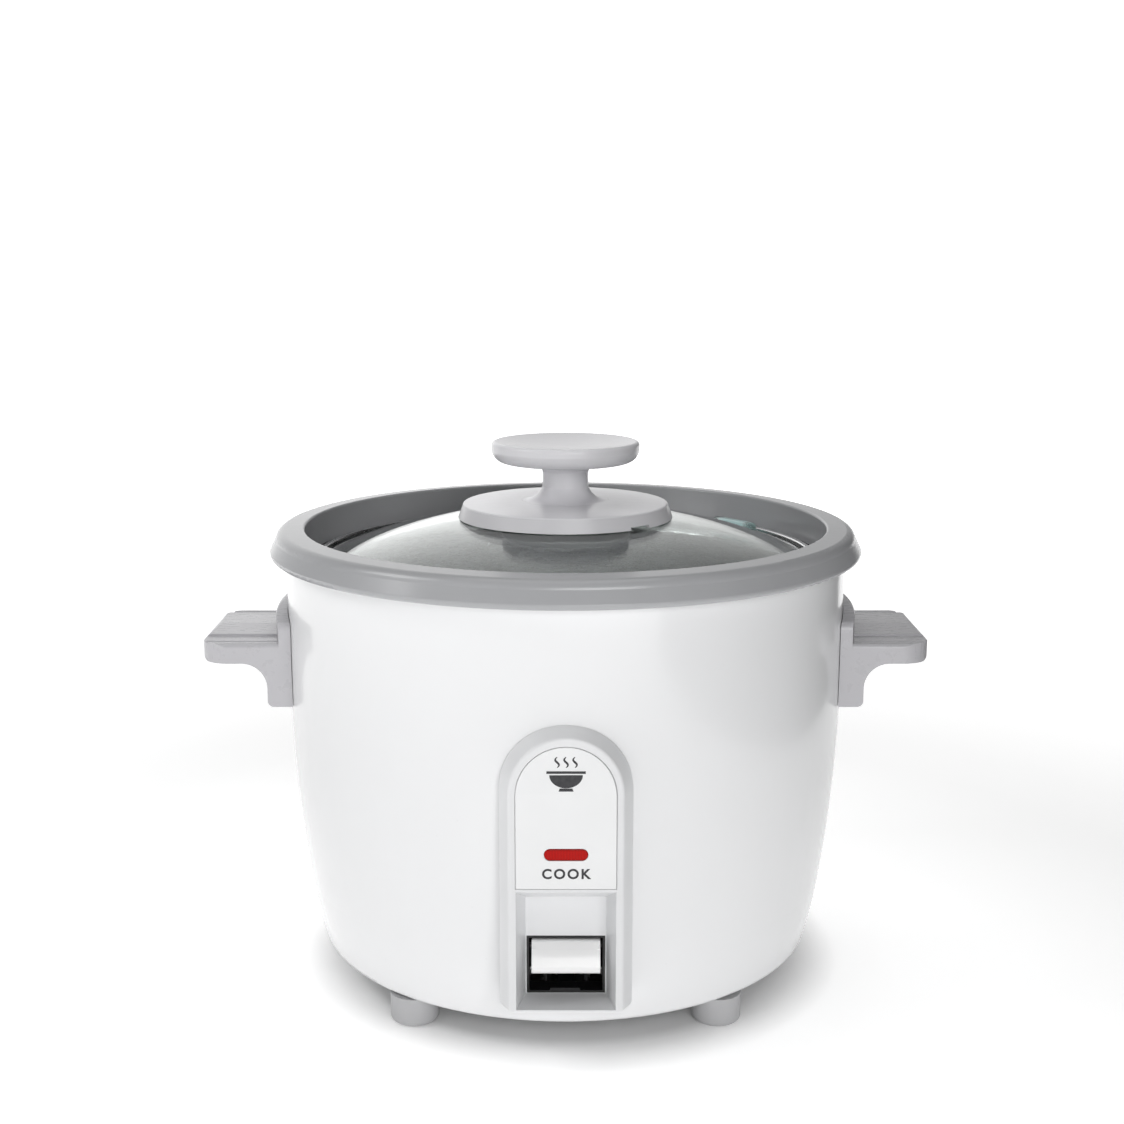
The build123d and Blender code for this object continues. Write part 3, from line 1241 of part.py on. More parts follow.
with BuildPart() as inlet_screws:
    with BuildSketch(REAR_IN):
        with Locations((-21.0, INLET_Z), (21.0, INLET_Z)):
            Circle(1.35)
    extrude(amount=12.0)
    with BuildSketch(REAR_IN):
        with Locations((-21.0, INLET_Z), (21.0, INLET_Z)):
            Circle(2.7)
    extrude(amount=-1.6)
    fillet(inlet_screws.edges().group_by(Axis.Y)[-1], 0.9)
    with BuildSketch(REAR_IN.offset(-1.6)):
        with Locations((-21.0, INLET_Z), (21.0, INLET_Z)):
            Rectangle(3.0, 0.7)
            Rectangle(0.7, 3.0)
    extrude(amount=0.9, mode=Mode.SUBTRACT)
inlet_screws.part.label = "inlet_screws"
export_step(inlet_screws.part, "parts/inlet_screws.step")

BLOCK_Y = 52.0
BLOCK_Z = 13.0

with BuildPart() as terminal_block:
    with BuildSketch(Plane.XY.offset(BLOCK_Z)):
        with Locations((0, BLOCK_Y)):
            Rectangle(30.0, 14.0)
    extrude(amount=9.0)
    chamfer(terminal_block.edges().filter_by(Axis.Z), 1.5)
    with BuildSketch(Plane.XY.offset(BLOCK_Z + 9.0)):
        with Locations(*[(x, BLOCK_Y) for x in (-9.0, 0.0, 9.0)]):
            Circle(2.2)
    extrude(amount=-4.0, mode=Mode.SUBTRACT)
terminal_block.part.label = "terminal_block"
export_step(terminal_block.part, "parts/terminal_block.step")

with BuildPart() as thermal_fuse:
    with BuildSketch(Plane.YZ.offset(-46.0)):
        with Locations((40.0, 34.0)):
            Circle(2.4)
    extrude(amount=14.0)
    fillet(thermal_fuse.edges().filter_by(GeomType.CIRCLE), 0.8)
thermal_fuse.part.label = "thermal_fuse"
export_step(thermal_fuse.part, "parts/thermal_fuse.step")

WIRE_R = 1.1
WIRE_ROUTES = (
    ([(-7, 79.5, 29.5), (-7, 68, 29.5), (-9, 56, 27.5), (-9, 52, 24.5), (-9, 52, 19)], (5, 4, 3)),
    ([(7, 79.5, 29.5), (7, 68, 29.5), (9, 56, 27.5), (9, 52, 24.5), (9, 52, 19)], (5, 4, 3)),
    ([(-47, 40, 34), (-54, 40, 34), (-58, 30, 28), (-50, 4, 17), (-30, -34, 17),
      (-16, -50, 17)], (3, 6, 10, 12)),
    ([(20, 42, 17), (30, 30, 16), (40, 0, 16), (34, -52, 16), (22, -76, 20), (22, -97, 30), (22, -101, 60)],
     (6, 12, 14, 8, 8)),
)

with BuildPart() as internal_wires:
    for points, bends in WIRE_ROUTES:
        with BuildLine() as route:
            FilletPolyline(*points, radius=bends)
        with BuildSketch(Plane(origin=route.line @ 0, z_dir=route.line % 0)):
            Circle(WIRE_R)
        sweep(path=route.line)
internal_wires.part.label = "internal_wires"
export_step(internal_wires.part, "parts/internal_wires.step")
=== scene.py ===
import json
import math

import bmesh
import bpy
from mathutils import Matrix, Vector


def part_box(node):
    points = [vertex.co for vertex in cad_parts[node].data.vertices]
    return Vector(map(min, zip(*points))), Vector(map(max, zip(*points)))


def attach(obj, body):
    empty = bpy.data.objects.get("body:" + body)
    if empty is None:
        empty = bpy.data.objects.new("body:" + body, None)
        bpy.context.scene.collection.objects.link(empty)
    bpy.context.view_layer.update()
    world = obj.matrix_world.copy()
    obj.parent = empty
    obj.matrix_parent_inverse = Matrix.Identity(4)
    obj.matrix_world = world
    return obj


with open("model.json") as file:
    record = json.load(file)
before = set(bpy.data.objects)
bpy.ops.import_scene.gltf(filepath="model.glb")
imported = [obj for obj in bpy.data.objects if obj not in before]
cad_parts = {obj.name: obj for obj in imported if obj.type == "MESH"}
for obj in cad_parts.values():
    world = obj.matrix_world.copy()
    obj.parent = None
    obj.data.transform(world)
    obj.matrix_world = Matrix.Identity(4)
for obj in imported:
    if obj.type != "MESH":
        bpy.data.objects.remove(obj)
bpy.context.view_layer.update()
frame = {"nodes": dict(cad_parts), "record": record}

# Looks of a rice cooker, in metres. +Z is up, the front panel faces -Y, and the handles lie along X.
# The shapes come from the frame. This script adds the finishes, the print on the face plate
# and a plain studio.

NODES = frame["nodes"]
SLOT_OF = {part["node"]: part["material_slot"] for part in frame["record"]["subparts"]}
PALER_NODES = ("knob", "knob_base_plate")   # moulded in a paler, glossier grey than the handles

FINGER_LIP = (0.0747, 0.0584, 0.169)        # middle of the small lip moulded on the lid's rim
MARK_Z = 0.1140                             # heights of the two prints on the face plate
WORD_Z = 0.0773
WORD_SIZE = 0.0050
WORD_BOLDNESS = 0.00014
PRINT_HEIGHT = 0.00006                      # how far the printed ink stands off the face plate

# The camera looks along +Y, tilted down. Its lens is in millimetres.
CAMERA_PLACE = (-0.0014, -0.672, 0.2969)
CAMERA_TILT = 11.09
CAMERA_LENS = 53.8
CAMERA_SENSOR = 36.0

FLOOR_SIZE = 12.0
FLAG_X = 0.40                               # the black card on the right, and its reach along Y and upwards
FLAG_REACH = (-0.6, 0.45)
FLAG_HEIGHT = 0.6

# Light painted onto the floor as a glow, added to what it reflects: two strengths, and the distances from
# the object's axis between which one turns into the other. GLOW_BEYOND multiplies GLOW_UNDER, and GLOW_FAR
# is added.
GLOW_UNDER = (0.0, 0.55, 0.088, 0.115)      # no glow under the object: a painted contact shadow
GLOW_BEYOND = (1.0, 0.75, 0.14, 0.35)       # less further out, where the lamps reach freely
GLOW_FAR = (0.0, 0.6, 0.3, 0.9)             # more where the floor meets the backdrop

# The world's light by direction: two strengths, and the parts of a unit direction between which they turn.
LEFT_TO_RIGHT = (0.16, 0.0, -0.1, 0.5)
BEHIND = (1.0, 8.0, 0.4, 0.9)
BACKDROP = 1.05                             # what the camera sees behind everything


# ---- Material tools -----------------------------------------------------------------

def shader(name, colour, **sockets):
    """A new material with one Principled shader: its node tree and the shader."""
    material = bpy.data.materials.new(name)
    material.use_nodes = True
    bsdf = material.node_tree.nodes["Principled BSDF"]
    bsdf.inputs["Base Color"].default_value = (*colour, 1)
    for socket, value in sockets.items():
        bsdf.inputs[socket.replace("_", " ")].default_value = value
    return material, material.node_tree, bsdf


def add(tree, kind, inputs=None, **settings):
    """Adds a node, sets its properties, then its input values or links."""
    node = tree.nodes.new(kind)
    for key, value in settings.items():
        setattr(node, key, value)
    for key, value in (inputs or {}).items():
        socket = node.inputs[key]
        if isinstance(value, bpy.types.NodeSocket):
            tree.links.new(value, socket)
        else:
            socket.default_value = value
    return node


def maths(tree, operation, first, second=0.0):
    return add(tree, "ShaderNodeMath", {0: first, 1: second}, operation=operation).outputs[0]


def object_point(tree):
    """The point on the surface in the row frame, in metres."""
    return add(tree, "ShaderNodeTexCoord").outputs["Object"]


def stretched(tree, point, scale):
    """The point with each axis scaled, to stretch a pattern along one of them."""
    return add(tree, "ShaderNodeMapping", {"Vector": point, "Scale": scale}).outputs["Vector"]


def turned_point(tree, point):
    """Turns the row frame into radius, angle and height, so that noise follows lathe or spinning lines."""
    parts = add(tree, "ShaderNodeSeparateXYZ", {"Vector": point})
    x, y, z = parts.outputs[0], parts.outputs[1], parts.outputs[2]
    squares = maths(tree, "ADD", maths(tree, "MULTIPLY", x, x), maths(tree, "MULTIPLY", y, y))
    radius = maths(tree, "SQRT", squares)
    angle = maths(tree, "ARCTAN2", y, x)
    slow_angle = maths(tree, "MULTIPLY", angle, 0.004)
    return add(tree, "ShaderNodeCombineXYZ", {"X": radius, "Y": slow_angle, "Z": z}).outputs[0]


def noise(tree, point, scale, detail=3.0, roughness=0.55, distortion=0.0):
    node = add(tree, "ShaderNodeTexNoise", {
        "Vector": point, "Scale": scale, "Detail": detail, "Roughness": roughness, "Distortion": distortion,
    })
    return node.outputs["Fac"]


def spread(tree, value, low, high, from_low=0.3, from_high=0.7):
    """Maps a value onto a range, clamped at both ends."""
    node = add(tree, "ShaderNodeMapRange", {
        "Value": value, "From Min": from_low, "From Max": from_high, "To Min": low, "To Max": high,
    })
    return node.outputs["Result"]


def tint(tree, value, first, second):
    """Mixes two colours by a 0 to 1 value."""
    node = add(tree, "ShaderNodeMixRGB", {"Fac": value, "Color1": (*first, 1), "Color2": (*second, 1)})
    return node.outputs["Color"]


def over(tree, value, under, second):
    """Lays a colour over a colour socket by a 0 to 1 value."""
    node = add(tree, "ShaderNodeMixRGB", {"Fac": value, "Color1": under, "Color2": (*second, 1)})
    return node.outputs["Color"]


def specks(tree, point, scale, reach):
    """1 at sparse small dots, 0 elsewhere."""
    dots = add(tree, "ShaderNodeTexVoronoi", {"Vector": point, "Scale": scale, "Randomness": 1.0})
    return spread(tree, dots.outputs["Distance"], 1.0, 0.0, reach * 0.6, reach)


def edge_wear_and_highlight(tree):
    """1 where an edge stands out, from the mesh's own pointiness: the mask for paler edges, partly worn and
    partly painted highlight.
    """
    return spread(tree, add(tree, "ShaderNodeNewGeometry").outputs["Pointiness"], 0.0, 1.0, 0.515, 0.56)


def finish_surface(tree, bsdf, colour, rough, height, distance):
    """Links the colour and gloss patterns, and a bump of that real depth."""
    tree.links.new(colour, bsdf.inputs["Base Color"])
    tree.links.new(rough, bsdf.inputs["Roughness"])
    relief = add(tree, "ShaderNodeBump", {"Height": height, "Distance": distance, "Strength": 1.0})
    tree.links.new(relief.outputs["Normal"], bsdf.inputs["Normal"])


def darker(colour, share):
    return tuple(channel * share for channel in colour)


# ---- Plastics and paint -------------------------------------------------------------

def enamel(name, colour):
    """Baked white paint on sheet steel: a faint orange peel, sparse dust nibs, and soft wiping marks."""
    material, tree, bsdf = shader(name, colour, Coat_Weight=0.35, Coat_Roughness=0.06, IOR=1.5)
    point = object_point(tree)
    drift = noise(tree, point, 14.0, detail=4.0)
    paint = tint(tree, spread(tree, drift, 0.0, 1.0), colour, darker(colour, 0.985))
    wiped = noise(tree, stretched(tree, point, (1.0, 1.0, 0.25)), 60.0, detail=6.0)
    nibs = specks(tree, point, 90.0, 0.035)
    peel = maths(tree, "ADD", noise(tree, point, 420.0, detail=1.0), maths(tree, "MULTIPLY", nibs, 0.5))
    finish_surface(
        tree, bsdf, over(tree, maths(tree, "MULTIPLY", nibs, 0.12), paint, darker(colour, 0.7)),
        spread(tree, wiped, 0.15, 0.22), peel, 0.000012,
    )
    return material


def moulded(name, colour, rough=(0.3, 0.4), grain=2400.0, depth=0.000014, edge_paling=0.06):
    """Moulded plastic: a spark-eroded grain, slow drifts of colour, faint scuffs, and paler edges that are
    partly worn and partly painted highlight.
    """
    material, tree, bsdf = shader(name, colour, IOR=1.48)
    point = object_point(tree)
    drift = noise(tree, point, 26.0, detail=5.0)
    resin = tint(tree, spread(tree, drift, 0.0, 1.0), colour, darker(colour, 0.955))
    scuffs = noise(tree, stretched(tree, point, (1.0, 6.0, 1.0)), 150.0, detail=8.0, roughness=0.7)
    # paler edges by pointiness, whatever the light: partly worn, partly painted highlight
    paled_edges = maths(tree, "MULTIPLY", edge_wear_and_highlight(tree), edge_paling)
    paler = tuple(min(1.0, channel * 1.25 + 0.04) for channel in colour)
    grip = noise(tree, point, grain, detail=2.0)
    finish_surface(
        tree, bsdf, over(tree, paled_edges, resin, paler), spread(tree, scuffs, rough[1], rough[0]), grip, depth,
    )
    return material


def lens_plastic(name, colour):
    """Clear red plastic, darker towards its rim, with fine upright ribs moulded into its back."""
    material, tree, bsdf = shader(name, colour, IOR=1.4, Specular_IOR_Level=0.2)
    point = object_point(tree)
    low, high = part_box("indicator_lens")
    parts = add(tree, "ShaderNodeSeparateXYZ", {"Vector": point})
    middle = (low.z + high.z) / 2
    off_middle = maths(tree, "ABSOLUTE", maths(tree, "SUBTRACT", parts.outputs[2], middle))
    rim = spread(tree, off_middle, 0.0, 1.0, 0.0012, 0.0022)
    ribs = maths(tree, "SINE", maths(tree, "MULTIPLY", parts.outputs[0], 6200.0))
    ribbed = tint(tree, spread(tree, ribs, 0.0, 1.0, -1.0, 1.0), colour, darker(colour, 0.86))
    finish_surface(
        tree, bsdf, over(tree, rim, ribbed, darker(colour, 0.55)),
        spread(tree, noise(tree, point, 200.0), 0.12, 0.22), ribs, 0.00001,
    )
    return material


def silicone(name, colour):
    """Soft grey rubber: dull, with a dusty bloom."""
    material, tree, bsdf = shader(name, colour, Sheen_Weight=0.25, Sheen_Roughness=0.5)
    point = object_point(tree)
    bloom = noise(tree, point, 120.0, detail=6.0)
    finish_surface(
        tree, bsdf, tint(tree, spread(tree, bloom, 0.0, 1.0), colour, darker(colour, 0.85)),
        spread(tree, bloom, 0.55, 0.75), noise(tree, point, 1500.0), 0.00002,
    )
    return material


def ceramic(name, colour):
    """Fine fired ceramic, slightly speckled."""
    material, tree, bsdf = shader(name, colour)
    point = object_point(tree)
    dots = specks(tree, point, 700.0, 0.12)
    finish_surface(
        tree, bsdf, tint(tree, maths(tree, "MULTIPLY", dots, 0.35), colour, (0.45, 0.4, 0.33)),
        spread(tree, noise(tree, point, 300.0), 0.4, 0.6), noise(tree, point, 900.0), 0.00002,
    )
    return material


def woven_sleeve(name, colour):
    """Braided glass-fibre sleeve over the wires."""
    material, tree, bsdf = shader(name, colour)
    point = object_point(tree)
    weave = add(tree, "ShaderNodeTexWave", {
        "Vector": point, "Scale": 900.0, "Distortion": 1.5, "Detail": 2.0,
    }, wave_type="BANDS", bands_direction="DIAGONAL").outputs["Fac"]
    finish_surface(
        tree, bsdf, tint(tree, weave, colour, darker(colour, 0.6)),
        spread(tree, noise(tree, point, 500.0), 0.6, 0.8), weave, 0.00008,
    )
    return material


# ---- Metals -------------------------------------------------------------------------

def spun_metal(name, colour, rough=(0.2, 0.32), lines=2600.0, depth=0.000012, stain=0.1):
    """Sheet metal spun or polished on a lathe: fine rings about the axis, and faint water stains."""
    material, tree, bsdf = shader(name, colour, Metallic=1.0)
    point = object_point(tree)
    rings = noise(tree, turned_point(tree, point), lines, detail=4.0, roughness=0.7)
    marks = noise(tree, point, 34.0, detail=7.0, distortion=0.6)
    stained = spread(tree, marks, 0.0, stain, 0.5, 0.75)
    finish_surface(
        tree, bsdf,
        over(tree, stained, tint(tree, rings, colour, darker(colour, 0.9)), (0.55, 0.5, 0.42)),
        spread(tree, rings, *rough), rings, depth,
    )
    return material


def cast_metal(name, colour):
    """Die-cast heater plate: a granular skin, machined on top, with scorched brown patches."""
    material, tree, bsdf = shader(name, colour, Metallic=1.0)
    point = object_point(tree)
    skin = noise(tree, point, 900.0, detail=4.0)
    rings = noise(tree, turned_point(tree, point), 1500.0, detail=3.0)
    scorch = spread(tree, noise(tree, point, 22.0, detail=6.0, distortion=1.0), 0.0, 0.5, 0.52, 0.78)
    facing_up = add(tree, "ShaderNodeSeparateXYZ", {
        "Vector": add(tree, "ShaderNodeNewGeometry").outputs["Normal"],
    }).outputs[2]
    machined = spread(tree, facing_up, 0.0, 1.0, 0.8, 0.95)
    relief = add(tree, "ShaderNodeMixRGB", {"Fac": machined, "Color1": skin, "Color2": rings})
    finish_surface(
        tree, bsdf,
        over(tree, scorch, tint(tree, skin, colour, darker(colour, 0.85)), (0.36, 0.27, 0.19)),
        spread(tree, skin, 0.32, 0.5), relief.outputs["Color"], 0.00004,
    )
    return material


def plated_steel(name, colour, rough=(0.18, 0.34), edge_paling=0.25):
    """Plated steel hardware: small dull patches, drawing lines, and paler edges that are partly worn and
    partly painted highlight.
    """
    material, tree, bsdf = shader(name, colour, Metallic=1.0)
    point = object_point(tree)
    patches = noise(tree, point, 260.0, detail=6.0)
    lines = noise(tree, stretched(tree, point, (1.0, 0.08, 1.0)), 1800.0, detail=3.0)
    dulled = tint(tree, spread(tree, patches, 0.0, 1.0), colour, darker(colour, 0.8))
    # paler edges by pointiness, whatever the light: partly worn, partly painted highlight
    paled_edges = maths(tree, "MULTIPLY", edge_wear_and_highlight(tree), edge_paling)
    finish_surface(
        tree, bsdf, over(tree, paled_edges, dulled, (0.93, 0.92, 0.9)),
        spread(tree, patches, *rough), lines, 0.00001,
    )
    return material


def heated_tube(name, colour):
    """Sheath of the heating element: dark oxide with straw and blue tempering."""
    material, tree, bsdf = shader(name, colour, Metallic=1.0)
    point = object_point(tree)
    bands = noise(tree, stretched(tree, point, (1.0, 1.0, 0.3)), 45.0, detail=5.0)
    tempered = tint(tree, spread(tree, bands, 0.0, 1.0), colour, (0.34, 0.25, 0.16))
    blued = over(tree, spread(tree, bands, 0.5, 0.0, 0.3, 0.45), tempered, (0.16, 0.18, 0.26))
    finish_surface(tree, bsdf, blued, spread(tree, bands, 0.35, 0.55), noise(tree, point, 1200.0), 0.00002)
    return material


def ferrite(name, colour):
    """Sintered black ferrite."""
    material, tree, bsdf = shader(name, colour)
    point = object_point(tree)
    grit = noise(tree, point, 1600.0, detail=5.0)
    finish_surface(
        tree, bsdf, tint(tree, grit, colour, (0.09, 0.085, 0.08)),
        spread(tree, grit, 0.5, 0.7), grit, 0.00003,
    )
    return material


# ---- Glass --------------------------------------------------------------------------

def lid_glass(name):
    """Toughened glass lid: clear, faintly green, milky at its finger lip, with a few dried water marks."""
    clear, milky = (0.93, 0.975, 0.955), (0.72, 0.93, 0.93)
    material, tree, bsdf = shader(name, clear, IOR=1.5)
    point = object_point(tree)
    off_lip = add(tree, "ShaderNodeVectorMath", {0: point, 1: FINGER_LIP}, operation="DISTANCE")
    milkiness = spread(tree, off_lip.outputs["Value"], 1.0, 0.0, 0.008, 0.011)
    tree.links.new(tint(tree, milkiness, clear, milky), bsdf.inputs["Base Color"])
    tree.links.new(spread(tree, milkiness, 1.0, 0.35, 0.0, 1.0), bsdf.inputs["Transmission Weight"])
    marks = noise(tree, point, 70.0, detail=6.0, distortion=0.5)
    tree.links.new(spread(tree, marks, 0.0, 0.05, 0.55, 0.8), bsdf.inputs["Roughness"])
    edge = spread(tree, noise(tree, point, 300.0, detail=2.0), 0.0, 1.0)
    relief = add(tree, "ShaderNodeBump", {"Height": edge, "Distance": 0.000003, "Strength": 0.5})
    tree.links.new(relief.outputs["Normal"], bsdf.inputs["Normal"])
    return material


def lamp_glass(name):
    """Small neon lamp's glass, smoked near its ends."""
    material, tree, bsdf = shader(name, (0.95, 0.8, 0.7), Transmission_Weight=0.9, IOR=1.5)
    point = object_point(tree)
    smoke = noise(tree, point, 220.0, detail=3.0)
    finish_surface(
        tree, bsdf, tint(tree, spread(tree, smoke, 0.0, 1.0), (0.95, 0.82, 0.72), (0.6, 0.5, 0.45)),
        spread(tree, smoke, 0.02, 0.12), smoke, 0.000005,
    )
    return material


def make_materials():
    """One material for each of the record's slots, and knob_grey for the paler nodes."""
    return {
        "white_enamel": enamel("white_enamel_m", (0.81, 0.814, 0.822)),
        "ring_grey": moulded("ring_grey_m", (0.39, 0.394, 0.406), rough=(0.16, 0.24)),
        "grey_plastic": moulded("grey_plastic_m", (0.48, 0.475, 0.495), rough=(0.24, 0.34)),
        "knob_grey": moulded("knob_grey_m", (0.79, 0.785, 0.81), rough=(0.18, 0.26)),
        "panel_plastic": moulded("panel_plastic_m", (0.75, 0.755, 0.765), rough=(0.28, 0.38)),
        "plate_plastic": moulded("plate_plastic_m", (0.82, 0.825, 0.83), rough=(0.3, 0.38), grain=3600.0),
        "foot_plastic": moulded("foot_plastic_m", (0.46, 0.46, 0.47), rough=(0.4, 0.5)),
        "key_white": moulded("key_white_m", (0.88, 0.88, 0.88), rough=(0.16, 0.24), depth=0.000005),
        "black_plastic": moulded("black_plastic_m", (0.008, 0.008, 0.009), rough=(0.3, 0.42), edge_paling=0.02),
        "retainer_plastic": moulded("retainer_plastic_m", (0.42, 0.43, 0.43), rough=(0.3, 0.4)),
        "lever_plastic": moulded("lever_plastic_m", (0.03, 0.03, 0.032), rough=(0.35, 0.5)),
        "plunger_red": moulded("plunger_red_m", (0.45, 0.03, 0.02), rough=(0.3, 0.4)),
        "red_lens": lens_plastic("red_lens_m", (0.46, 0.006, 0.004)),
        "silicone": silicone("silicone_m", (0.62, 0.62, 0.62)),
        "ceramic_white": ceramic("ceramic_white_m", (0.78, 0.76, 0.71)),
        "wire_sleeve": woven_sleeve("wire_sleeve_m", (0.8, 0.78, 0.72)),
        "well_sheet": spun_metal("well_sheet_m", (0.78, 0.78, 0.79), rough=(0.16, 0.26)),
        "pan_aluminium": spun_metal("pan_aluminium_m", (0.86, 0.86, 0.87), rough=(0.22, 0.34), stain=0.16),
        "cap_aluminium": spun_metal("cap_aluminium_m", (0.84, 0.84, 0.84), rough=(0.25, 0.4), stain=0.3),
        "base_sheet": plated_steel("base_sheet_m", (0.62, 0.63, 0.64), rough=(0.28, 0.45)),
        "screw_steel": plated_steel("screw_steel_m", (0.7, 0.7, 0.68)),
        "spring_steel": plated_steel("spring_steel_m", (0.6, 0.6, 0.6), rough=(0.2, 0.3)),
        "fuse_metal": plated_steel("fuse_metal_m", (0.72, 0.71, 0.66)),
        "pin_brass": plated_steel("pin_brass_m", (0.8, 0.62, 0.28), rough=(0.16, 0.3)),
        "cast_aluminium": cast_metal("cast_aluminium_m", (0.72, 0.72, 0.73)),
        "element_steel": heated_tube("element_steel_m", (0.3, 0.29, 0.28)),
        "ferrite_black": ferrite("ferrite_black_m", (0.035, 0.035, 0.037)),
        "lid_glass": lid_glass("lid_glass_m"),
        "lamp_glass": lamp_glass("lamp_glass_m"),
    }


MATERIALS = make_materials()
for node_name, node in NODES.items():
    finish = "knob_grey" if node_name in PALER_NODES else SLOT_OF[node_name]
    node.data.materials.clear()
    node.data.materials.append(MATERIALS[finish])


# ---- Pieces added to the frame ------------------------------------------------------

def ink():
    """Dark grey printing ink, a little uneven."""
    material, tree, bsdf = shader("ink_m", (0.015, 0.015, 0.018))
    point = object_point(tree)
    patches = noise(tree, point, 900.0, detail=4.0)
    finish_surface(
        tree, bsdf, tint(tree, spread(tree, patches, 0.0, 1.0), (0.013, 0.013, 0.016), (0.035, 0.035, 0.04)),
        spread(tree, patches, 0.35, 0.5), patches, 0.000004,
    )
    return material


INK = ink()
PLATE_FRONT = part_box("face_plate")[0].y


def add_piece(piece, material, body):
    """Gives a new piece its finish, and hangs it on its body."""
    piece.data.materials.append(material)
    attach(piece, body)


def printed_shape(name, outlines, centre):
    """Ink on the face plate: outlines in millimetres about a centre in metres, given a small thickness."""
    mesh = bmesh.new()
    for outline in outlines:
        front, back = (
            [mesh.verts.new((centre[0] + x / 1000, y, centre[1] + z / 1000)) for x, z in outline]
            for y in (PLATE_FRONT - PRINT_HEIGHT, PLATE_FRONT + PRINT_HEIGHT / 2)
        )
        mesh.faces.new(front)
        mesh.faces.new(back[::-1])
        for i in range(len(outline)):
            mesh.faces.new((front[i - 1], back[i - 1], back[i], front[i]))
    bmesh.ops.recalc_face_normals(mesh, faces=list(mesh.faces))
    data = bpy.data.meshes.new(name)
    mesh.to_mesh(data)
    mesh.free()
    piece = bpy.data.objects.new(name, data)
    bpy.context.scene.collection.objects.link(piece)
    add_piece(piece, INK, "root")


def stroke(line, width, steps=24):
    """Outline of a brush stroke of that width along line(t), for t from 0 to 1, tapered at both ends."""
    left, right = [], []
    for step in range(steps + 1):
        t = step / steps
        here, ahead, behind = (Vector(line(s)) for s in (t, min(1.0, t + 0.01), max(0.0, t - 0.01)))
        along = (ahead - behind).normalized()
        half = width / 2 * (0.35 + 0.65 * math.sin(math.pi * t))
        across = Vector((-along.y, along.x)) * half
        left.append(tuple(here + across))
        right.append(tuple(here - across))
    return left + right[::-1]


def half_disc(radius_x, radius_z, top, steps=28):
    """Lower half of an ellipse with a flat top."""
    angles = [math.pi + math.pi * step / steps for step in range(steps + 1)]
    return [(radius_x * math.cos(angle), top + radius_z * math.sin(angle)) for angle in angles]


def make_bowl_mark():
    """A plain mark of a rice bowl with steam over it."""
    bowl = half_disc(5.8, 4.7, -0.5)
    rim = [(-6.8, 0.0), (6.8, 0.0), (6.8, 0.9), (-6.8, 0.9)]
    base = [(-2.6, -6.4), (2.6, -6.4), (2.2, -5.3), (-2.2, -5.3)]
    steam = [
        stroke(lambda t, x=x: (x + 0.65 * math.sin(2 * math.pi * t), 2.2 + 3.8 * t), 0.75)
        for x in (-3.1, 0.0, 3.1)
    ]
    printed_shape("bowl_mark", [bowl, rim, base, *steam], (0.0, MARK_Z))


def make_word():
    """The plain word COOK under the lamp."""
    curve = bpy.data.curves.new("cook_word", "FONT")
    curve.body = "COOK"
    curve.size = WORD_SIZE
    curve.align_x = "CENTER"
    curve.align_y = "CENTER"
    curve.extrude = PRINT_HEIGHT / 2
    curve.offset = WORD_BOLDNESS
    curve.space_character = 1.25
    word = bpy.data.objects.new("cook_word", curve)
    bpy.context.scene.collection.objects.link(word)
    word.location = (0.0, PLATE_FRONT - PRINT_HEIGHT / 2, WORD_Z)
    word.rotation_euler = (math.pi / 2, 0, 0)
    add_piece(word, INK, "root")


make_bowl_mark()
make_word()


# ---- Studio -------------------------------------------------------------------------

def area_light(name, place, target, size, power):
    """A soft white rectangle that faces the target."""
    data = bpy.data.lights.new(name, "AREA")
    data.shape = "RECTANGLE"
    data.size, data.size_y = size
    data.energy = power
    light = bpy.data.objects.new(name, data)
    bpy.context.scene.collection.objects.link(light)
    light.location = place
    light.rotation_euler = (Vector(target) - Vector(place)).to_track_quat("-Z", "Y").to_euler()


def make_floor():
    """Plain white floor that glows as painted light: no glow under the object, which paints its contact
    shadow darker, and more further out, so that it runs into the backdrop without an edge.
    """
    bpy.ops.mesh.primitive_plane_add(size=FLOOR_SIZE, location=(0, 0, 0))
    floor = bpy.context.object
    floor.name = "floor"
    material, tree, bsdf = shader("floor_white", (0.86, 0.86, 0.86), Roughness=0.7)
    bsdf.inputs["Emission Color"].default_value = (1, 1, 1, 1)
    length = add(tree, "ShaderNodeVectorMath", {0: object_point(tree)}, operation="LENGTH")
    away = length.outputs["Value"]
    # painted light and painted shadow: the glow grows with distance from the axis, with none under the
    # object
    near = maths(tree, "MULTIPLY", spread(tree, away, *GLOW_UNDER), spread(tree, away, *GLOW_BEYOND))
    glow = maths(tree, "ADD", near, spread(tree, away, *GLOW_FAR))
    tree.links.new(glow, bsdf.inputs["Emission Strength"])
    floor.data.materials.append(material)


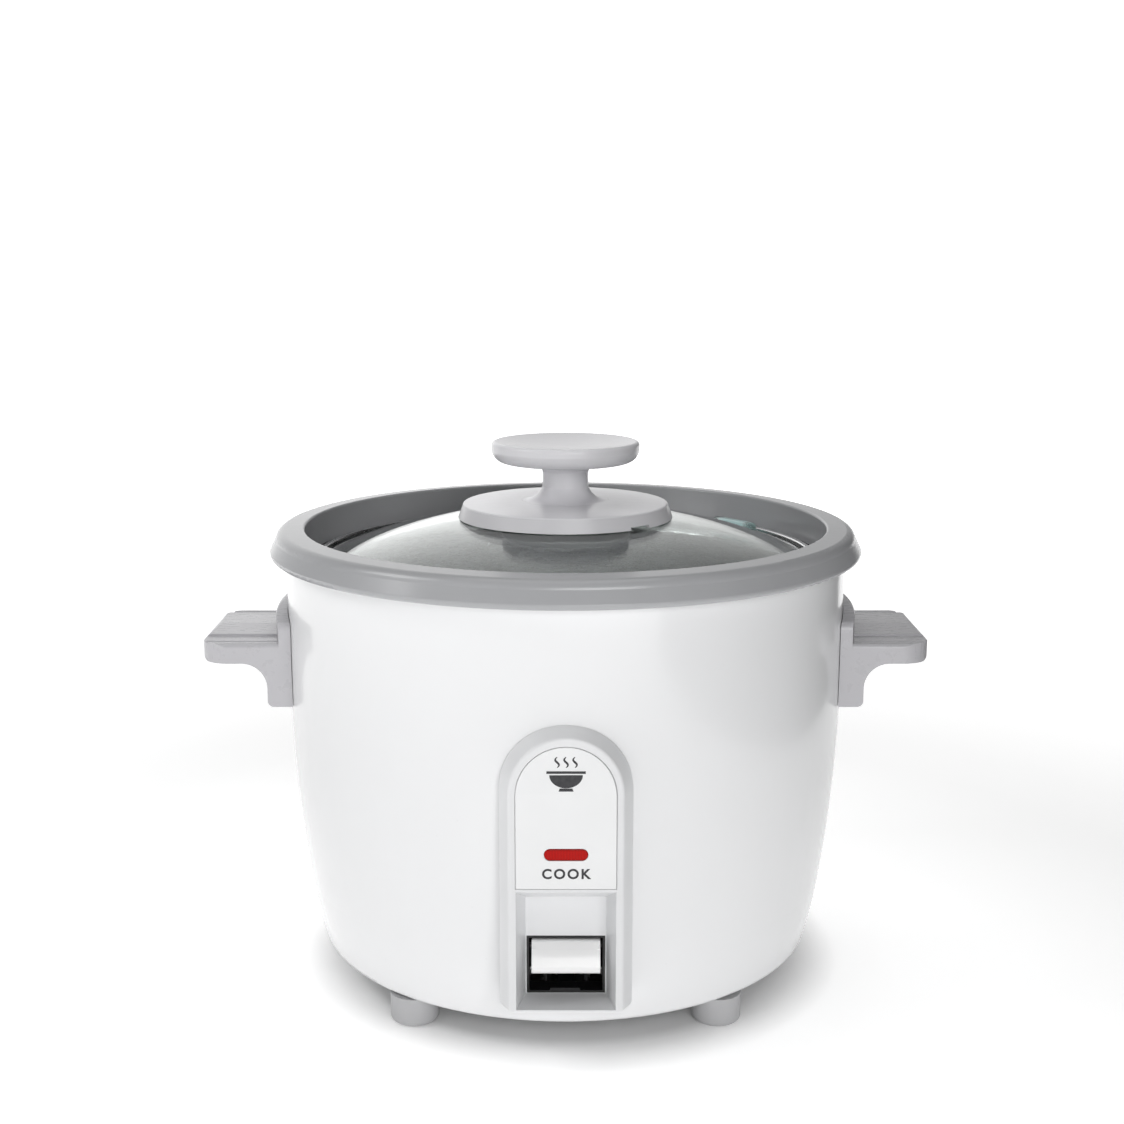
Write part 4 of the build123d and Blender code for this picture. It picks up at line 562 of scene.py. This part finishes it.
def make_flag():
    """Black card on the right, out of the camera's sight, that keeps light off that side."""
    mesh = bmesh.new()
    near, far = FLAG_REACH
    corners = [
        (FLAG_X, near, 0.0), (FLAG_X, far, 0.0), (FLAG_X, far, FLAG_HEIGHT), (FLAG_X, near, FLAG_HEIGHT),
    ]
    mesh.faces.new([mesh.verts.new(corner) for corner in corners])
    data = bpy.data.meshes.new("flag")
    mesh.to_mesh(data)
    mesh.free()
    flag = bpy.data.objects.new("flag", data)
    bpy.context.scene.collection.objects.link(flag)
    data.materials.append(shader("flag_black", (0.01, 0.01, 0.01), Roughness=0.9)[0])
    flag.visible_camera = False
    flag.visible_transmission = False
    flag.visible_shadow = False


def make_world():
    """A dim studio: some light from the left, none from the right, most from behind on a white backdrop."""
    world = bpy.data.worlds.new("studio")
    bpy.context.scene.world = world
    world.use_nodes = True
    tree = world.node_tree
    background = tree.nodes["Background"]
    direction = add(tree, "ShaderNodeTexCoord").outputs["Generated"]
    parts = add(tree, "ShaderNodeSeparateXYZ", {"Vector": direction})
    left_to_right = spread(tree, parts.outputs[0], *LEFT_TO_RIGHT)
    behind = spread(tree, parts.outputs[1], *BEHIND)
    lit = maths(tree, "MULTIPLY", left_to_right, behind)
    seen = add(tree, "ShaderNodeLightPath").outputs["Is Camera Ray"]
    level = maths(tree, "MAXIMUM", lit, maths(tree, "MULTIPLY", seen, BACKDROP))
    background.inputs["Color"].default_value = (1, 1, 1, 1)
    tree.links.new(level, background.inputs["Strength"])


def make_sun():
    """Broad overhead light from a little behind."""
    data = bpy.data.lights.new("overhead", "SUN")
    data.energy = 0.6
    data.angle = math.radians(42)
    light = bpy.data.objects.new("overhead", data)
    bpy.context.scene.collection.objects.link(light)
    light.rotation_euler = Vector((0.0, -0.1, -1.0)).to_track_quat("-Z", "Y").to_euler()


def make_lights():
    make_sun()
    area_light("front", place=(0.3, -1.5, 0.6), target=(0, 0, 0.1), size=(0.9, 0.7), power=10.2)
    area_light("left", place=(-1.0, -0.25, 1.0), target=(0, 0, 0.16), size=(0.5, 0.5), power=3.6)


def make_camera():
    data = bpy.data.cameras.new("camera")
    data.lens = CAMERA_LENS
    data.sensor_width = CAMERA_SENSOR
    camera = bpy.data.objects.new("camera", data)
    bpy.context.scene.collection.objects.link(camera)
    camera.location = CAMERA_PLACE
    camera.rotation_euler = (math.radians(90 - CAMERA_TILT), 0, 0)
    bpy.context.scene.camera = camera


make_floor()
make_flag()
make_world()
make_lights()
make_camera()
bpy.context.scene.view_settings.view_transform = "Standard"
